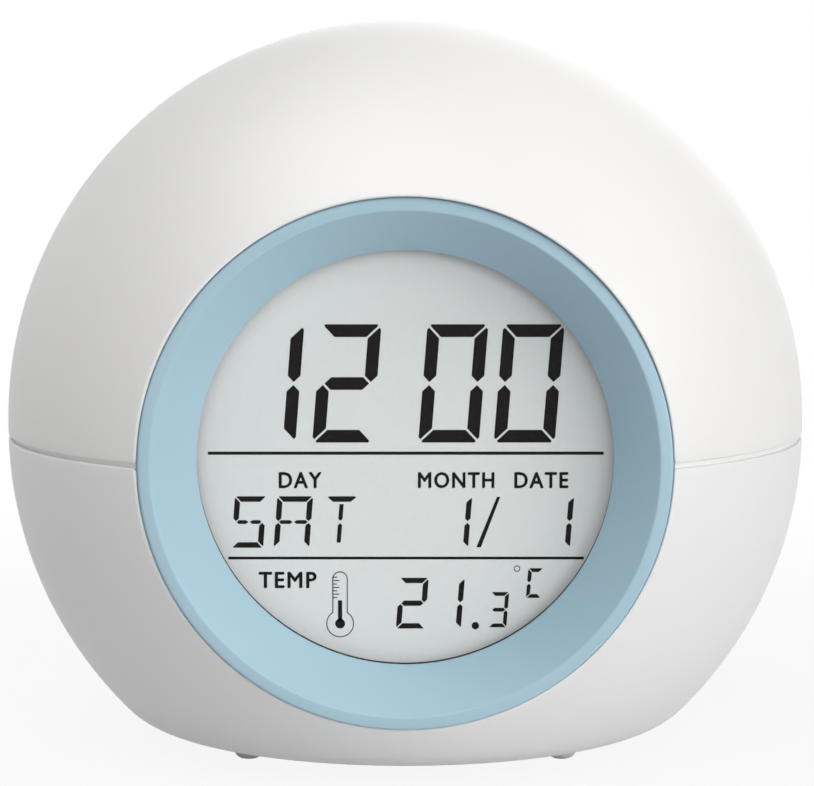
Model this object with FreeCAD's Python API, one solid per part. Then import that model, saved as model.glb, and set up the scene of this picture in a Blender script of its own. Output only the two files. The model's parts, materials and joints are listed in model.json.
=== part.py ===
import FreeCAD, Part
import math
import os

from FreeCAD import Vector

# Ball-shaped bedside alarm clock with a night light. Millimetres, +Z up, the display faces -Y.
# The origin is the middle of the outer box, at the height of the surface that the feet stand on.
# Two halves of a ball meet at a horizontal reveal. A pale blue bezel with a deep cone sits in a round
# opening in front, and a flat round panel with the keys sits in a second opening behind.

# Case: two half balls
ball_radius = 45.0
wall = 2.2
base_radius = 30.0  # where the ball would meet the flat base
base_round = 7.3
seam_gap = 0.8  # height of the reveal between the halves
seam_drop = 1.1  # seam below the middle of the ball
reveal_depth = 0.9
edge_break = 0.35  # bevel at the seam and the round openings
lip_height = 3.0
lip_wall = 0.9
lip_clearance = 0.15
bead_rise = 0.25  # snap bead on the lip
collar_wall = 2.0  # ring of plastic behind each round opening
flange_thickness = 1.2
seat_clearance = 0.1
rib_wall = 1.4
flange_grip = 1.0
rib_half_angle = 34.0

# Feet
foot_count = 4
foot_height = 1.5
foot_radius = 3.0
foot_taper = 0.9
foot_pocket = 0.4
foot_margin = 1.1

# Bezel and lens
bezel_radius = 27.2
bezel_gap = 0.2
bezel_set_back = 0.2  # front rim behind the ball's outline
rim_width = 1.25
rim_fall = 0.2
rim_break = 0.25
cone_width = 4.25
cone_depth = 6.1
window_land = 0.5
lens_overlap = 1.2  # lens behind the edge of the window
lens_thickness = 1.0
lens_clearance = 0.15
gasket_thickness = 0.5

# Display stack
glass_thickness = 1.1
glass_margin = 0.8  # eight-sided glass beyond the window
contact_ledge = 2.3
guide_thickness = 2.6
pocket_clearance = 0.2
board_thickness = 1.2
strip_thickness = 1.7
guide_rim = 0.2  # guide drawn in from the bezel
backlight_inset = 1.9
backlight_gap = 0.8  # below the contact ledge

# Screws
screw_radius = 0.8
screw_head_radius = 1.7
screw_head_height = 1.3
screw_bite = 2.0
screw_clearance = 0.25
pilot_clearance = 0.05
boss_radius = 1.9
cross_width = 0.5
cross_depth = 0.7

# Parts on the boards
part_inset = 13.2  # from the edge of the bezel
leg_radius = 0.3
blob_radius = 6.0
blob_height = 1.5
crystal_radius = 1.0
crystal_length = 6.0
crystal_leg = 3.0
crystal_gap = 3.0  # between the resin and the can
capacitor_radius = 2.5
capacitor_height = 5.0
transistor_radius = 2.0
transistor_height = 4.0
plug_width = 7.0
plug_depth = 3.4
plug_height = 4.0
plug_over_bay = 2.2  # between the roof of the bay and the power plug
bead_sensor_radius = 1.2
bead_lift = 2.4  # legs between the board and the bead
tap_can_radius = 1.6
tap_can_length = 7.0
edge_led_width = 3.0
edge_led_height = 1.4
edge_led_depth = 1.3

# Night light
light_board_radius = 12.0
light_board_rise = 2.0  # top of the board above the seam
led_side = 5.0
led_height = 1.6
led_wall = 0.5  # at the top of the round well
well_depth = 0.8
well_taper = 0.5
led_ring = 4.8
led_count = 4
post_radius = 2.0
post_ring = 9.0
post_count = 3
post_turn = 90.0  # the first post stands behind the middle

# Rear panel
panel_radius = 23.8
panel_gap = 0.2
panel_set_back = 0.5
panel_thickness = 2.0
panel_wall = 1.6
panel_break = 0.4
grille_radius = 7.6
grille_slot_height = 1.4
grille_pitch = 2.8
grille_slots = 5

# Keys
key_count = 4
key_margin = 0.8  # outer flange to the skirt of the panel
key_radius = 3.2
key_gap = 0.2
key_rise = 1.2
key_break = 0.4
key_flange = 0.9
key_flange_thickness = 1.0
key_stem_radius = 1.5
key_stem_length = 1.6
key_travel = 0.5
key_drop = 8.0  # key row below the middle of the panel
tact_side = 6.0
tact_height = 3.4
plunger_radius = 1.7
plunger_gap = 0.05
plunger_rise = 0.9
plunger_foot = 0.6
board_rim = 0.8

# Slide switch
slide_travel = 3.0
knob_width = 3.0
knob_height = 2.6
knob_rise = 0.9
knob_gap = 0.25
knob_flange = 1.2
knob_round = 0.5
knob_groove_width = 0.3
knob_groove_depth = 0.4
knob_groove_pitch = 0.6
boss_inset = 3.0  # screws in from the edge of the key board
boss_half_angle = 32.0
knob_stem_height = 1.2
knob_dip = 1.0
switch_body_width = 9.0
switch_body_height = 4.4
switch_body_depth = 3.6

# Speaker
speaker_radius = 10.0
speaker_rim = 1.6
speaker_rim_thickness = 0.8
speaker_depth = 3.0
speaker_lift = 9.4
basket_wall = 0.6
magnet_radius = 5.6
magnet_thickness = 2.6
cone_thickness = 0.4
gasket_rise = 0.5
cone_inset = 0.9
cone_sag = 0.8
fence_wall = 1.2
fence_clearance = 0.15

# Batteries: two AAA cells side by side
cell_radius = 5.25
cell_length = 44.5
nub_radius = 1.9
nub_height = 1.0
cell_gap = 0.4
cell_clearance = 0.3
spring_length = 4.0
spring_radius = 3.2
spring_tip_radius = 2.0
spring_wire = 0.3
spring_turns = 3
spring_samples = 50  # points on each turn at which its least gap is measured
contact_thickness = 0.4
contact_half_width = 4.4
contact_half_height = 4.4
contact_tail = 3.0
bay_wall = 1.4
door_thickness = 1.3
door_margin = 1.2
door_gap = 0.2
door_corner = 3.0
barrel_radius = 0.8
hinge_pin_radius = 0.5
hinge_pin_clearance = 0.07
hinge_pin_length = 1.0
latch_width = 4.4
latch_thickness = 1.0
latch_height = 1.8
latch_gap = 0.35
latch_bump = 0.2
door_lift = 0.1
scoop_reach = 2.0
cell_break = 0.5
nub_gap = 0.1

# Leads
wire_sides = 6  # wires are drawn with flat sides
lead_radius = 0.6
lead_pitch = 1.0
lead_share = 0.45
ribbon_width = 7.0
ribbon_thickness = 0.6
lead_rise = 3.0
lead_reach = 5.0
lead_sweep = 18.0  # from the middle of the bay to the bend beside the plug
ribbon_reach = 10.0
ribbon_dip = 2.0

# Heights
base_z = foot_height
base_cut = math.sqrt(ball_radius**2 - base_radius**2)
bowl_z = base_z + base_cut  # middle of the lower half ball
dome_z = bowl_z + seam_gap  # middle of the upper half ball
seam_z = bowl_z + seam_gap / 2 - seam_drop
seam_low = seam_z - seam_gap / 2
seam_high = seam_z + seam_gap / 2

# Openings and how far the clock reaches in front and behind
front_opening = bezel_radius + bezel_gap
rear_opening = panel_radius + panel_gap


def bevelled_edge_reach(opening):
    """How far the bevelled top edge of a round opening stands out from the ball's middle."""
    angle = math.asin((seam_z + opening - dome_z) / ball_radius) + edge_break / ball_radius
    return ball_radius * math.cos(angle)


rim_reach = math.sqrt(ball_radius**2 - bezel_radius**2) - bezel_set_back
panel_reach = math.sqrt(ball_radius**2 - panel_radius**2) - panel_set_back
front_reach = max(bevelled_edge_reach(front_opening), rim_reach)
rear_reach = max(bevelled_edge_reach(rear_opening), panel_reach + key_rise)
mid_y = (front_reach - rear_reach) / 2
rim_y = mid_y - rim_reach
panel_y = mid_y + panel_reach

FAR = 4 * ball_radius
PAST = 1.0  # how far a cutter runs past the face it cuts
MIDDLE_AXIS = Vector(0, 0, seam_z)
X_AXIS = Vector(1, 0, 0)
Y_AXIS = Vector(0, 1, 0)
Z_AXIS = Vector(0, 0, 1)


def block(x0, x1, y0, y1, z0, z1):
    return Part.makeBox(x1 - x0, y1 - y0, z1 - z0, Vector(x0, y0, z0))


def rod(radius, start, end):
    run = end.sub(start)
    return Part.makeCylinder(radius, run.Length, start, run)


def rod_y(radius, x, z, y0, y1):
    return rod(radius, Vector(x, y0, z), Vector(x, y1, z))


def rod_z(radius, x, y, z0, z1):
    return rod(radius, Vector(x, y, z0), Vector(x, y, z1))


def pipe_y(outer, inner, y0, y1):
    """A ring about the middle axis of the openings."""
    return rod_y(outer, 0, seam_z, y0, y1).cut(rod_y(inner, 0, seam_z, y0 - PAST, y1 + PAST))


def turned(outline):
    """Turns (radius, y) points about the middle axis of the openings."""
    points = [Vector(r, y, seam_z) for r, y in outline]
    face = Part.Face(Part.makePolygon(points + points[:1]))
    return face.revolve(MIDDLE_AXIS, Y_AXIS, 360)


def turned_upright(edges):
    """Turns a closed outline in the plane y = mid_y about the upright axis of the ball."""
    return Part.Face(Part.Wire(edges)).revolve(Vector(0, mid_y, 0), Z_AXIS, 360)


def sides_between(points):
    """Straight edges from each point to the next and back to the first."""
    return [Part.makeLine(points[i - 1], points[i]) for i in range(len(points))]


def extruded(points, direction):
    return Part.Face(Part.makePolygon(points + points[:1])).extrude(direction)


def rounded(shape, radius, wanted):
    """Rounds the edges for which wanted(edge) holds."""
    edges = [e for e in shape.Edges if wanted(e)]
    return shape.makeFillet(radius, edges)


def runs_along(edge, axis):
    if edge.Degenerated or not isinstance(edge.Curve, Part.Line):
        return False
    return abs(abs(edge.Curve.Direction.dot(axis)) - 1) < 1e-6


def screw_circle(count, radius, first_angle=45.0):
    """(x, z) places about the middle axis of the openings."""
    angles = [math.radians(first_angle + 360.0 * i / count) for i in range(count)]
    return [(radius * math.cos(a), seam_z + radius * math.sin(a)) for a in angles]


def save(name, *solids):
    shape = solids[0] if len(solids) == 1 else Part.Compound(list(solids))
    shape.exportStep("parts/%s.step" % name)
    return shape


# Sizes that follow from the bezel and the panel
window_radius = bezel_radius - rim_width - cone_width
lens_radius = window_radius + lens_overlap
glass_half_width = window_radius + glass_margin
glass_cut = math.sqrt(2) * glass_half_width  # |x| + |z| at the cut corners
backlight_half_width = glass_half_width - backlight_inset
backlight_half_height = glass_half_width - contact_ledge - backlight_gap
backlight_cut = glass_cut - backlight_inset
part_ring = bezel_radius - part_inset
key_board_radius = panel_radius - panel_wall - seat_clearance
key_ring = key_board_radius - key_radius - key_flange - key_margin
boss_ring = key_board_radius - boss_inset
switch_drop = boss_ring * math.cos(math.radians(boss_half_angle))

# Depths from front to back
front_flange_radius = front_opening + collar_wall - bezel_gap
rear_flange_radius = rear_opening + collar_wall - panel_gap


def collar_face_reach(opening):
    """Where a flat collar face round this opening clears the case wall on every side."""
    lowest = bowl_z - seam_z + opening + collar_wall
    return math.sqrt((ball_radius - wall) ** 2 - lowest**2)


front_collar_y = mid_y - collar_face_reach(front_opening)
rear_collar_y = mid_y + collar_face_reach(rear_opening)
front_flange_y = front_collar_y + seat_clearance
rear_flange_y = rear_collar_y - seat_clearance
lens_y = rim_y + rim_fall + cone_depth + window_land
glass_y = lens_y + lens_thickness + gasket_thickness
board_y = glass_y + guide_thickness
board_back_y = board_y + board_thickness
guide_radius = bezel_radius - guide_rim
panel_inner_y = panel_y - panel_thickness
key_board_y = (
    panel_inner_y
    - key_flange_thickness
    - key_stem_length
    - plunger_rise
    - tact_height
)
key_board_back_y = key_board_y - board_thickness

# Heights of the battery bay
mouth_half_length = cell_length / 2 + nub_height / 2
mouth_half_width = 2 * cell_radius + cell_gap / 2 + cell_clearance
door_inner_z = base_z + door_thickness
bay_low_z = base_z + wall
cell_z = bay_low_z + cell_clearance + cell_radius
roof_z = cell_z + cell_radius + cell_clearance
roof_top_z = roof_z + bay_wall
bay_half_length = (cell_length + spring_length + 2 * contact_thickness) / 2
cell_offset = cell_radius + cell_gap / 2
nub_end_x = bay_half_length - contact_thickness - nub_gap
spring_room = spring_length - nub_gap
latch_x = mouth_half_length - latch_thickness
latch_top_z = door_inner_z + latch_height
hinge_x = -mouth_half_length - barrel_radius
hinge_z = base_z + barrel_radius
door_half_width = mouth_half_width + door_margin
door_end_x = mouth_half_length + door_margin
flat_radius = math.sqrt((ball_radius - base_round) ** 2 - (base_cut - base_round) ** 2)
foot_ring = flat_radius - foot_radius - foot_margin
light_board_z = seam_high + light_board_rise
lip_radius = math.sqrt(ball_radius**2 - seam_drop**2) - reveal_depth
lip_top = seam_high + lip_height
lip_foot = seam_low - lip_height
bead_z = seam_high + lip_height / 2

# Places on the boards
speaker_front_y = panel_inner_y - gasket_rise
speaker_back_y = speaker_front_y - speaker_rim_thickness
key_stem_y = key_board_y + tact_height + plunger_rise
key_board_top_z = seam_z - key_drop + tact_side / 2 + board_rim
plug_back_y = board_back_y + plug_height
power_plug_place = (0, roof_top_z + plug_over_bay + plug_depth / 2)
light_plug_place = (part_ring, seam_z - part_ring / 2)
key_plug_place = (-part_ring, seam_z - part_ring / 2)
light_lead_x = light_board_radius / 4
light_lead_y = mid_y - light_board_radius / 2


# Case halves


def above(z):
    return block(-FAR, FAR, -FAR, FAR, z, FAR)


def arc_about(middle, start, end):
    """The shorter arc between two points at the same distance from the middle."""
    halfway = (start - middle + end - middle).normalize() * start.distanceToPoint(middle)
    return Part.Arc(start, middle + halfway, end).toShape()


def bowl_form(inset):
    """The lower half as a solid, drawn in by inset. Only the outer one is rounded at its base."""
    base_edge = 0 if inset else base_round
    middle = Vector(0, mid_y, bowl_z)
    radius = ball_radius - inset
    reach = radius - base_edge
    floor = Vector(0, mid_y, base_z + inset)
    centre_z = floor.z + base_edge
    centre = Vector(math.sqrt(reach**2 - (bowl_z - centre_z) ** 2), mid_y, centre_z)
    floor_end = Vector(centre.x, mid_y, floor.z)
    low = middle + (centre - middle) * (radius / reach)
    base_arc = [arc_about(centre, floor_end, low)] if base_edge else []
    top = Vector(0, mid_y, seam_low)
    high = Vector(math.sqrt(radius**2 - (bowl_z - seam_low) ** 2), mid_y, seam_low)
    flats = [Part.makeLine(floor, floor_end), Part.makeLine(high, top), Part.makeLine(top, floor)]
    side = arc_about(middle, low, high)
    return turned_upright(flats[:1] + base_arc + [side] + flats[1:])


def dome_form(inset):
    """The upper half as a solid. The poles of its surface fall in the two openings."""
    middle = Vector(0, mid_y, dome_z)
    ball = Part.makeSphere(ball_radius - inset, middle, Y_AXIS)
    ball.rotate(middle, Y_AXIS, 180)
    return ball.common(above(seam_high))


def opening_cutters():
    front = rod_y(front_opening, 0, seam_z, -FAR, mid_y - light_board_radius)
    rear = rod_y(rear_opening, 0, seam_z, mid_y + light_board_radius, FAR)
    return [front, rear]


def half_shell(form, middle_z, seam_plane, cutter_turn):
    """A hollow half, cut by openings whose own seam line falls in the other half."""
    cutters = opening_cutters()
    for cutter in cutters:
        cutter.rotate(MIDDLE_AXIS, Y_AXIS, cutter_turn)
    solid = form(0).cut(cutters)
    middle = Vector(0, mid_y, middle_z)

    def is_outer_edge(edge):
        if edge.Degenerated or len(solid.ancestorsOfType(edge, Part.Face)) < 2:
            return False
        first, last = edge.ParameterRange
        places = [edge.valueAt(first + (last - first) * s) for s in (0.1, 0.5, 0.9)]
        if any(abs(p.sub(middle).Length - ball_radius) > 1e-3 for p in places):
            return False
        widths = [math.hypot(p.x, p.z - seam_z) for p in places]
        at_seam = all(abs(p.z - seam_plane) < 1e-3 for p in places)
        at_front = all(abs(w - front_opening) < 1e-3 for w in widths)
        at_rear = all(abs(w - rear_opening) < 1e-3 for w in widths)
        return at_seam or at_front or at_rear

    solid = solid.makeChamfer(edge_break, [e for e in solid.Edges if is_outer_edge(e)])
    return solid.cut(form(wall))


def opening_space(extra):
    """The space of both collars, grown by extra."""
    front = rod_y(front_opening + collar_wall + extra, 0, seam_z, -FAR, mid_y)
    return front.fuse(rod_y(rear_opening + collar_wall + extra, 0, seam_z, mid_y, FAR))


def collars(backing):
    """Rings behind both openings, whose flat ends hold the bezel and the panel."""
    front = pipe_y(front_opening + collar_wall, front_opening, -FAR, front_collar_y)
    rear = pipe_y(rear_opening + collar_wall, rear_opening, rear_collar_y, FAR)
    return [front.common(backing), rear.common(backing)]


def ribs(backing, upward):
    """Arcs that grip the flanges of the bezel and the panel from inside."""
    reach = FAR * math.tan(math.radians(rib_half_angle))
    end_z = seam_z + (FAR if upward else -FAR)
    corners = [Vector(0, 0, seam_z), Vector(reach, 0, end_z), Vector(-reach, 0, end_z)]
    found = []
    for face_y, side, radius in (
        (front_flange_y, 1, front_flange_radius),
        (rear_flange_y, -1, rear_flange_radius),
    ):
        near = face_y + side * (flange_thickness + seat_clearance)
        far = near + side * rib_wall
        ring = pipe_y(FAR, radius - flange_grip, min(near, far), max(near, far))
        wedge = extruded([p + Vector(0, min(near, far), 0) for p in corners], Y_AXIS * rib_wall)
        found.append(ring.common(wedge).common(backing))
    return found


def lip_outline(inner, outer, foot_z, top_z):
    """The section of the lip's ring, with the ridge of its snap bead."""
    ridge = [(outer, bead_z - bead_rise), (outer + bead_rise, bead_z), (outer, bead_z + bead_rise)]
    corners = [(inner, foot_z), (outer, foot_z)] + ridge + [(outer, top_z), (inner, top_z)]
    return sides_between([Vector(r, mid_y, z) for r, z in corners])


def dome_shell():
    shell = half_shell(dome_form, dome_z, seam_high, 180)
    backing = dome_form(wall / 2)
    shell = shell.fuse(collars(backing) + ribs(backing, True))
    rebate = turned_upright(
        lip_outline(
            lip_radius - wall,
            lip_radius + lip_clearance,
            seam_high - PAST,
            lip_top + lip_clearance,
        )
    )
    return shell.cut(rebate.cut(opening_space(0)))


def lip():
    """The standing ring with a snap bead that shows as the floor of the reveal."""
    ring = turned_upright(lip_outline(lip_radius - lip_wall, lip_radius, lip_foot, lip_top))
    return ring.cut(opening_space(lip_clearance))


def bay_walls():
    """The battery box that stands on the floor, with three posts for the light board."""
    half_length = bay_half_length + bay_wall
    half_width = mouth_half_width + bay_wall
    y0 = mid_y - half_width
    y1 = mid_y + half_width
    walls = block(-half_length, half_length, y0, y1, bay_low_z - wall / 2, roof_top_z)
    walls = rounded(walls, bay_wall, lambda e: runs_along(e, Z_AXIS))
    posts = []
    for x, y in post_places():
        post = rod_z(post_radius, x, y, roof_z, light_board_z - board_thickness)
        posts.append(post.cut(pilot_z(x, y, light_board_z - board_thickness)))
    return walls.fuse(posts)


def pilot_z(x, y, top):
    return rod_z(screw_radius + pilot_clearance, x, y, top - screw_bite - screw_clearance, top + PAST)


def post_places():
    angles = [math.radians(post_turn + 360.0 * i / post_count) for i in range(post_count)]
    return [(post_ring * math.cos(a), mid_y + post_ring * math.sin(a)) for a in angles]


def bay_cutters():
    """Battery room, mouth, door rebate, hinge notch and pin holes, and slits for the contacts."""
    y0 = mid_y - mouth_half_width
    y1 = mid_y + mouth_half_width
    room = block(-bay_half_length, bay_half_length, y0, y1, bay_low_z, roof_z)
    mouth = block(-mouth_half_length, mouth_half_length, y0, y1, base_z - PAST, bay_low_z + PAST)
    door_y = door_half_width + door_gap
    rebate_end = door_end_x + door_gap
    rebate_z = door_inner_z + door_lift
    rebate = block(hinge_x, rebate_end, mid_y - door_y, mid_y + door_y, base_z - PAST, rebate_z)
    rebate = rounded(
        rebate,
        door_corner + door_gap,
        lambda e: runs_along(e, Z_AXIS) and e.CenterOfMass.x > 0,
    )
    notch_radius = barrel_radius + door_gap
    notch_x = hinge_x - notch_radius
    notch_ends = [Vector(hinge_x, mid_y + side * door_y, hinge_z) for side in (-1, 1)]
    notch = rod(notch_radius, *notch_ends)
    notch = notch.fuse(block(notch_x, hinge_x, mid_y - door_y, mid_y + door_y, base_z - PAST, hinge_z))
    pin_reach = door_half_width + hinge_pin_length + door_gap
    pins = rod(
        hinge_pin_radius + hinge_pin_clearance,
        Vector(hinge_x, mid_y - pin_reach, hinge_z),
        Vector(hinge_x, mid_y + pin_reach, hinge_z),
    )
    latch = block(
        mouth_half_length - PAST,
        latch_x + latch_thickness + latch_gap,
        mid_y - latch_width / 2 - latch_gap,
        mid_y + latch_width / 2 + latch_gap,
        base_z - PAST,
        latch_top_z + latch_gap,
    )
    slits = []
    for side in (-1, 1):
        y = mid_y + side * cell_offset
        half = contact_tail / 2 + seat_clearance
        slit_x = -bay_half_length + contact_thickness
        slits.append(block(-bay_half_length, slit_x, y - half, y + half, roof_z - PAST, roof_top_z + PAST))
    return [room, mouth, rebate, notch, pins, latch] + slits


def feet_places():
    places = []
    for i in range(foot_count):
        angle = math.radians(45 + 360.0 * i / foot_count)
        places.append((foot_ring * math.cos(angle), mid_y + foot_ring * math.sin(angle)))
    return places


def bowl_shell():
    shell = half_shell(bowl_form, bowl_z, seam_low, 0)
    backing = bowl_form(wall / 2)
    shell = shell.fuse(collars(backing) + ribs(backing, False) + [lip(), bay_walls()])
    pockets = [
        rod_z(foot_radius + seat_clearance, x, y, base_z - PAST, base_z + foot_pocket)
        for x, y in feet_places()
    ]
    return shell.cut(bay_cutters() + pockets)


# Bezel, window and display


def bezel():
    """A rim band and a cone down to the round window, with a seat for the lens behind."""
    cone_y = rim_y + rim_fall + cone_depth
    seat = lens_radius + lens_clearance
    ring = turned(
        [
            (bezel_radius - rim_break, rim_y),
            (bezel_radius, rim_y + rim_break),
            (bezel_radius, front_flange_y),
            (front_flange_radius, front_flange_y),
            (front_flange_radius, front_flange_y + flange_thickness),
            (bezel_radius, front_flange_y + flange_thickness),
            (bezel_radius, glass_y),
            (seat, glass_y),
            (seat, lens_y),
            (window_radius, lens_y),
            (window_radius, cone_y),
            (bezel_radius - rim_width, rim_y + rim_fall),
        ]
    )
    pilot_y = glass_y - screw_bite - screw_clearance
    pilots = [
        rod_y(screw_radius + pilot_clearance, x, z, pilot_y, glass_y + PAST)
        for x, z in display_screw_places()
    ]
    return ring.cut(pilots)


def display_screw_places():
    return screw_circle(4, (lens_radius + lens_clearance + bezel_radius) / 2)


def lens():
    return rod_y(lens_radius, 0, seam_z, lens_y, lens_y + lens_thickness)


def lens_gasket():
    return pipe_y(lens_radius, window_radius + lens_clearance, lens_y + lens_thickness, glass_y)


def cut_square(half_x, half_z, cut, y0, y1):
    """A plate whose four corners are cut off where |x| + |z| passes cut."""
    corners = []
    for sx, sz, x_first in ((1, 1, True), (-1, 1, False), (-1, -1, True), (1, -1, False)):
        pair = [
            Vector(sx * half_x, y0, seam_z + sz * (cut - half_x)),
            Vector(sx * (cut - half_z), y0, seam_z + sz * half_z),
        ]
        corners += pair if x_first else pair[::-1]
    return extruded(corners, Vector(0, y1 - y0, 0))


def glass_plates(extra=0.0):
    """Two bonded plates, of which the rear one leaves a contact ledge at the top and bottom."""
    half = glass_half_width + extra
    cut = glass_cut + extra
    split_y = glass_y + glass_thickness / 2
    front = cut_square(half, half, cut, glass_y, split_y)
    rear = cut_square(half, half - contact_ledge, cut, split_y, glass_y + glass_thickness)
    return front.fuse(rear).removeSplitter()


def backlight(extra, y0):
    return cut_square(
        backlight_half_width + extra,
        backlight_half_height + extra,
        backlight_cut + extra,
        y0,
        board_y,
    )


def led_pocket_places():
    return [side * (backlight_half_width + edge_led_height / 2 + seat_clearance) for side in (-1, 1)]


def edge_leds():
    return [
        block(
            x - edge_led_height / 2,
            x + edge_led_height / 2,
            board_y - edge_led_depth,
            board_y,
            seam_z - edge_led_width / 2,
            seam_z + edge_led_width / 2,
        )
        for x in led_pocket_places()
    ]


def contact_strip(side, extra):
    """A rubber strip that joins the ledge of the glass to the board."""
    top = glass_half_width - pocket_clearance
    half_x = glass_cut - top - seat_clearance + extra
    z = sorted((seam_z + side * (top + extra), seam_z + side * (top - strip_thickness - extra)))
    return block(-half_x, half_x, glass_y + glass_thickness / 2, board_y, z[0], z[1])


def glass_guide():
    """The moulded frame that holds the glass, the backlight and the strips."""
    disc = rod_y(guide_radius, 0, seam_z, glass_y, board_y)
    pocket = cut_square(
        glass_half_width + pocket_clearance,
        glass_half_width + pocket_clearance,
        glass_cut + pocket_clearance,
        glass_y - PAST,
        glass_y + glass_thickness,
    )
    led_space = [
        block(
            led.BoundBox.XMin - seat_clearance,
            led.BoundBox.XMax + seat_clearance,
            board_y - edge_led_depth - seat_clearance,
            board_y + PAST,
            led.BoundBox.ZMin - seat_clearance,
            led.BoundBox.ZMax + seat_clearance,
        )
        for led in edge_leds()
    ]
    strips = [contact_strip(side, seat_clearance) for side in (-1, 1)]
    light_window = backlight(seat_clearance, glass_y + glass_thickness - seat_clearance)
    holes = [
        rod_y(screw_radius + screw_clearance, x, z, glass_y - PAST, board_y + PAST)
        for x, z in display_screw_places()
    ]
    return disc.cut([pocket, light_window] + led_space + strips + holes)


# Screws and boards


def screw(x, z, seat_y, grip, side):
    """A pan-head screw along Y. Its head lies on seat_y and its shank runs to the other side."""
    head = rod_y(screw_head_radius, x, z, *sorted((seat_y, seat_y + side * screw_head_height)))
    shank = rod_y(screw_radius, x, z, *sorted((seat_y, seat_y - side * (grip + screw_bite))))
    outer = seat_y + side * screw_head_height
    depth = sorted((outer - side * cross_depth, outer + side))
    arm = screw_head_radius / 2
    cross = block(x - arm, x + arm, *depth, z - cross_width / 2, z + cross_width / 2)
    cross = cross.fuse(block(x - cross_width / 2, x + cross_width / 2, *depth, z - arm, z + arm))
    return head.fuse(shank).cut(cross).removeSplitter()


def upright_screw(x, y, seat_z, grip):
    """The same screw with its head up."""
    made = screw(0, 0, 0, grip, -1)
    made.rotate(Vector(0, 0, 0), Vector(1, 0, 0), -90)
    made.translate(Vector(x, y, seat_z))
    return made


def display_screws():
    grip = board_thickness + guide_thickness
    return [screw(x, z, board_back_y, grip, 1) for x, z in display_screw_places()]


def light_board_screws():
    return [upright_screw(x, y, light_board_z, board_thickness) for x, y in post_places()]


def key_board_screws():
    return [screw(x, z, key_board_back_y, board_thickness, -1) for x, z in panel_boss_places()]


def main_board():
    disc = rod_y(guide_radius, 0, seam_z, board_y, board_back_y)
    return disc.cut(
        [
            rod_y(screw_radius + screw_clearance, x, z, board_y - PAST, board_back_y + PAST)
            for x, z in display_screw_places()
        ]
    )


def controller_blob():
    """The low dome of resin over the bonded chip."""
    ball_size = (blob_radius**2 + blob_height**2) / (2 * blob_height)
    dome = Part.makeSphere(ball_size, Vector(0, board_back_y + blob_height - ball_size, seam_z))
    return dome.common(block(-FAR, FAR, board_back_y, FAR, -FAR, FAR))


def quartz_crystal():
    x = blob_radius + crystal_gap + crystal_radius
    can = rod_z(crystal_radius, x, board_back_y + crystal_radius, seam_z, seam_z + crystal_length)
    legs = [
        rod_z(
            leg_radius,
            x + side * crystal_radius / 2,
            board_back_y + leg_radius,
            seam_z - crystal_leg,
            seam_z + crystal_radius / 2,
        )
        for side in (-1, 1)
    ]
    return can.fuse(legs)


def capacitor():
    """A small can that stands on the back of the main board."""
    end_y = board_back_y + capacitor_height
    return rod_y(capacitor_radius, part_ring, seam_z + part_ring, board_back_y, end_y)


def transistor():
    end_y = board_back_y + transistor_height
    can = rod_y(transistor_radius, -part_ring, seam_z + part_ring / 2, board_back_y, end_y)
    flat_x = -part_ring + transistor_radius / 2
    return can.cut(block(flat_x, FAR, -FAR, FAR, -FAR, FAR))


def temperature_sensor():
    """A dipped bead on two legs that hold it off the board."""
    x = part_ring
    z = seam_z - part_ring
    bead_y = board_back_y + bead_lift
    bead = rod_y(bead_sensor_radius, x, z, bead_y, bead_y + 2 * bead_sensor_radius)
    legs = [
        rod_y(leg_radius, x + side * bead_sensor_radius / 2, z, board_back_y, bead_y)
        for side in (-1, 1)
    ]
    return bead.fuse(legs)


def plug(x, z):
    """A white lead plug on the back of the main board, open at its rear."""
    body = block(
        x - plug_width / 2,
        x + plug_width / 2,
        board_back_y,
        board_back_y + plug_height,
        z - plug_depth / 2,
        z + plug_depth / 2,
    )
    return body


# Night light


def light_board():
    top = light_board_z
    disc = rod_z(light_board_radius, 0, mid_y, top - board_thickness, top)
    holes = [
        rod_z(screw_radius + screw_clearance, x, y, top - 2 * board_thickness, top + PAST)
        for x, y in post_places()
    ]
    return disc.cut(holes)


def night_light_leds():
    """Square lamps with a round well, set on a ring."""
    lamps = []
    for i in range(led_count):
        angle = math.radians(45 + 360.0 * i / led_count)
        x = led_ring * math.cos(angle)
        y = mid_y + led_ring * math.sin(angle)
        half = led_side / 2
        top = light_board_z + led_height
        body = block(x - half, x + half, y - half, y + half, light_board_z, top)
        well_radius = half - led_wall
        floor = Vector(x, y, top - well_depth)
        well = Part.makeCone(well_radius - well_taper, well_radius, well_depth, floor)
        lamps.append(body.cut(well))
    return lamps


def tap_sensor():
    """The small can that feels a tap on the dome, hung under the light board."""
    z = light_board_z - board_thickness - tap_can_radius
    return rod(
        tap_can_radius,
        Vector(-tap_can_length / 2, mid_y, z),
        Vector(tap_can_length / 2, mid_y, z),
    )


# Rear panel, speaker and keys


def key_places():
    outer_key_x = math.sqrt(key_ring**2 - key_drop**2)
    pitch = 2 * outer_key_x / (key_count - 1)
    return [(i * pitch - outer_key_x, seam_z - key_drop) for i in range(key_count)]


def panel_boss_places():
    x = boss_ring * math.sin(math.radians(boss_half_angle))
    return [(side * x, seam_z - switch_drop) for side in (-1, 1)]


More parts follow.
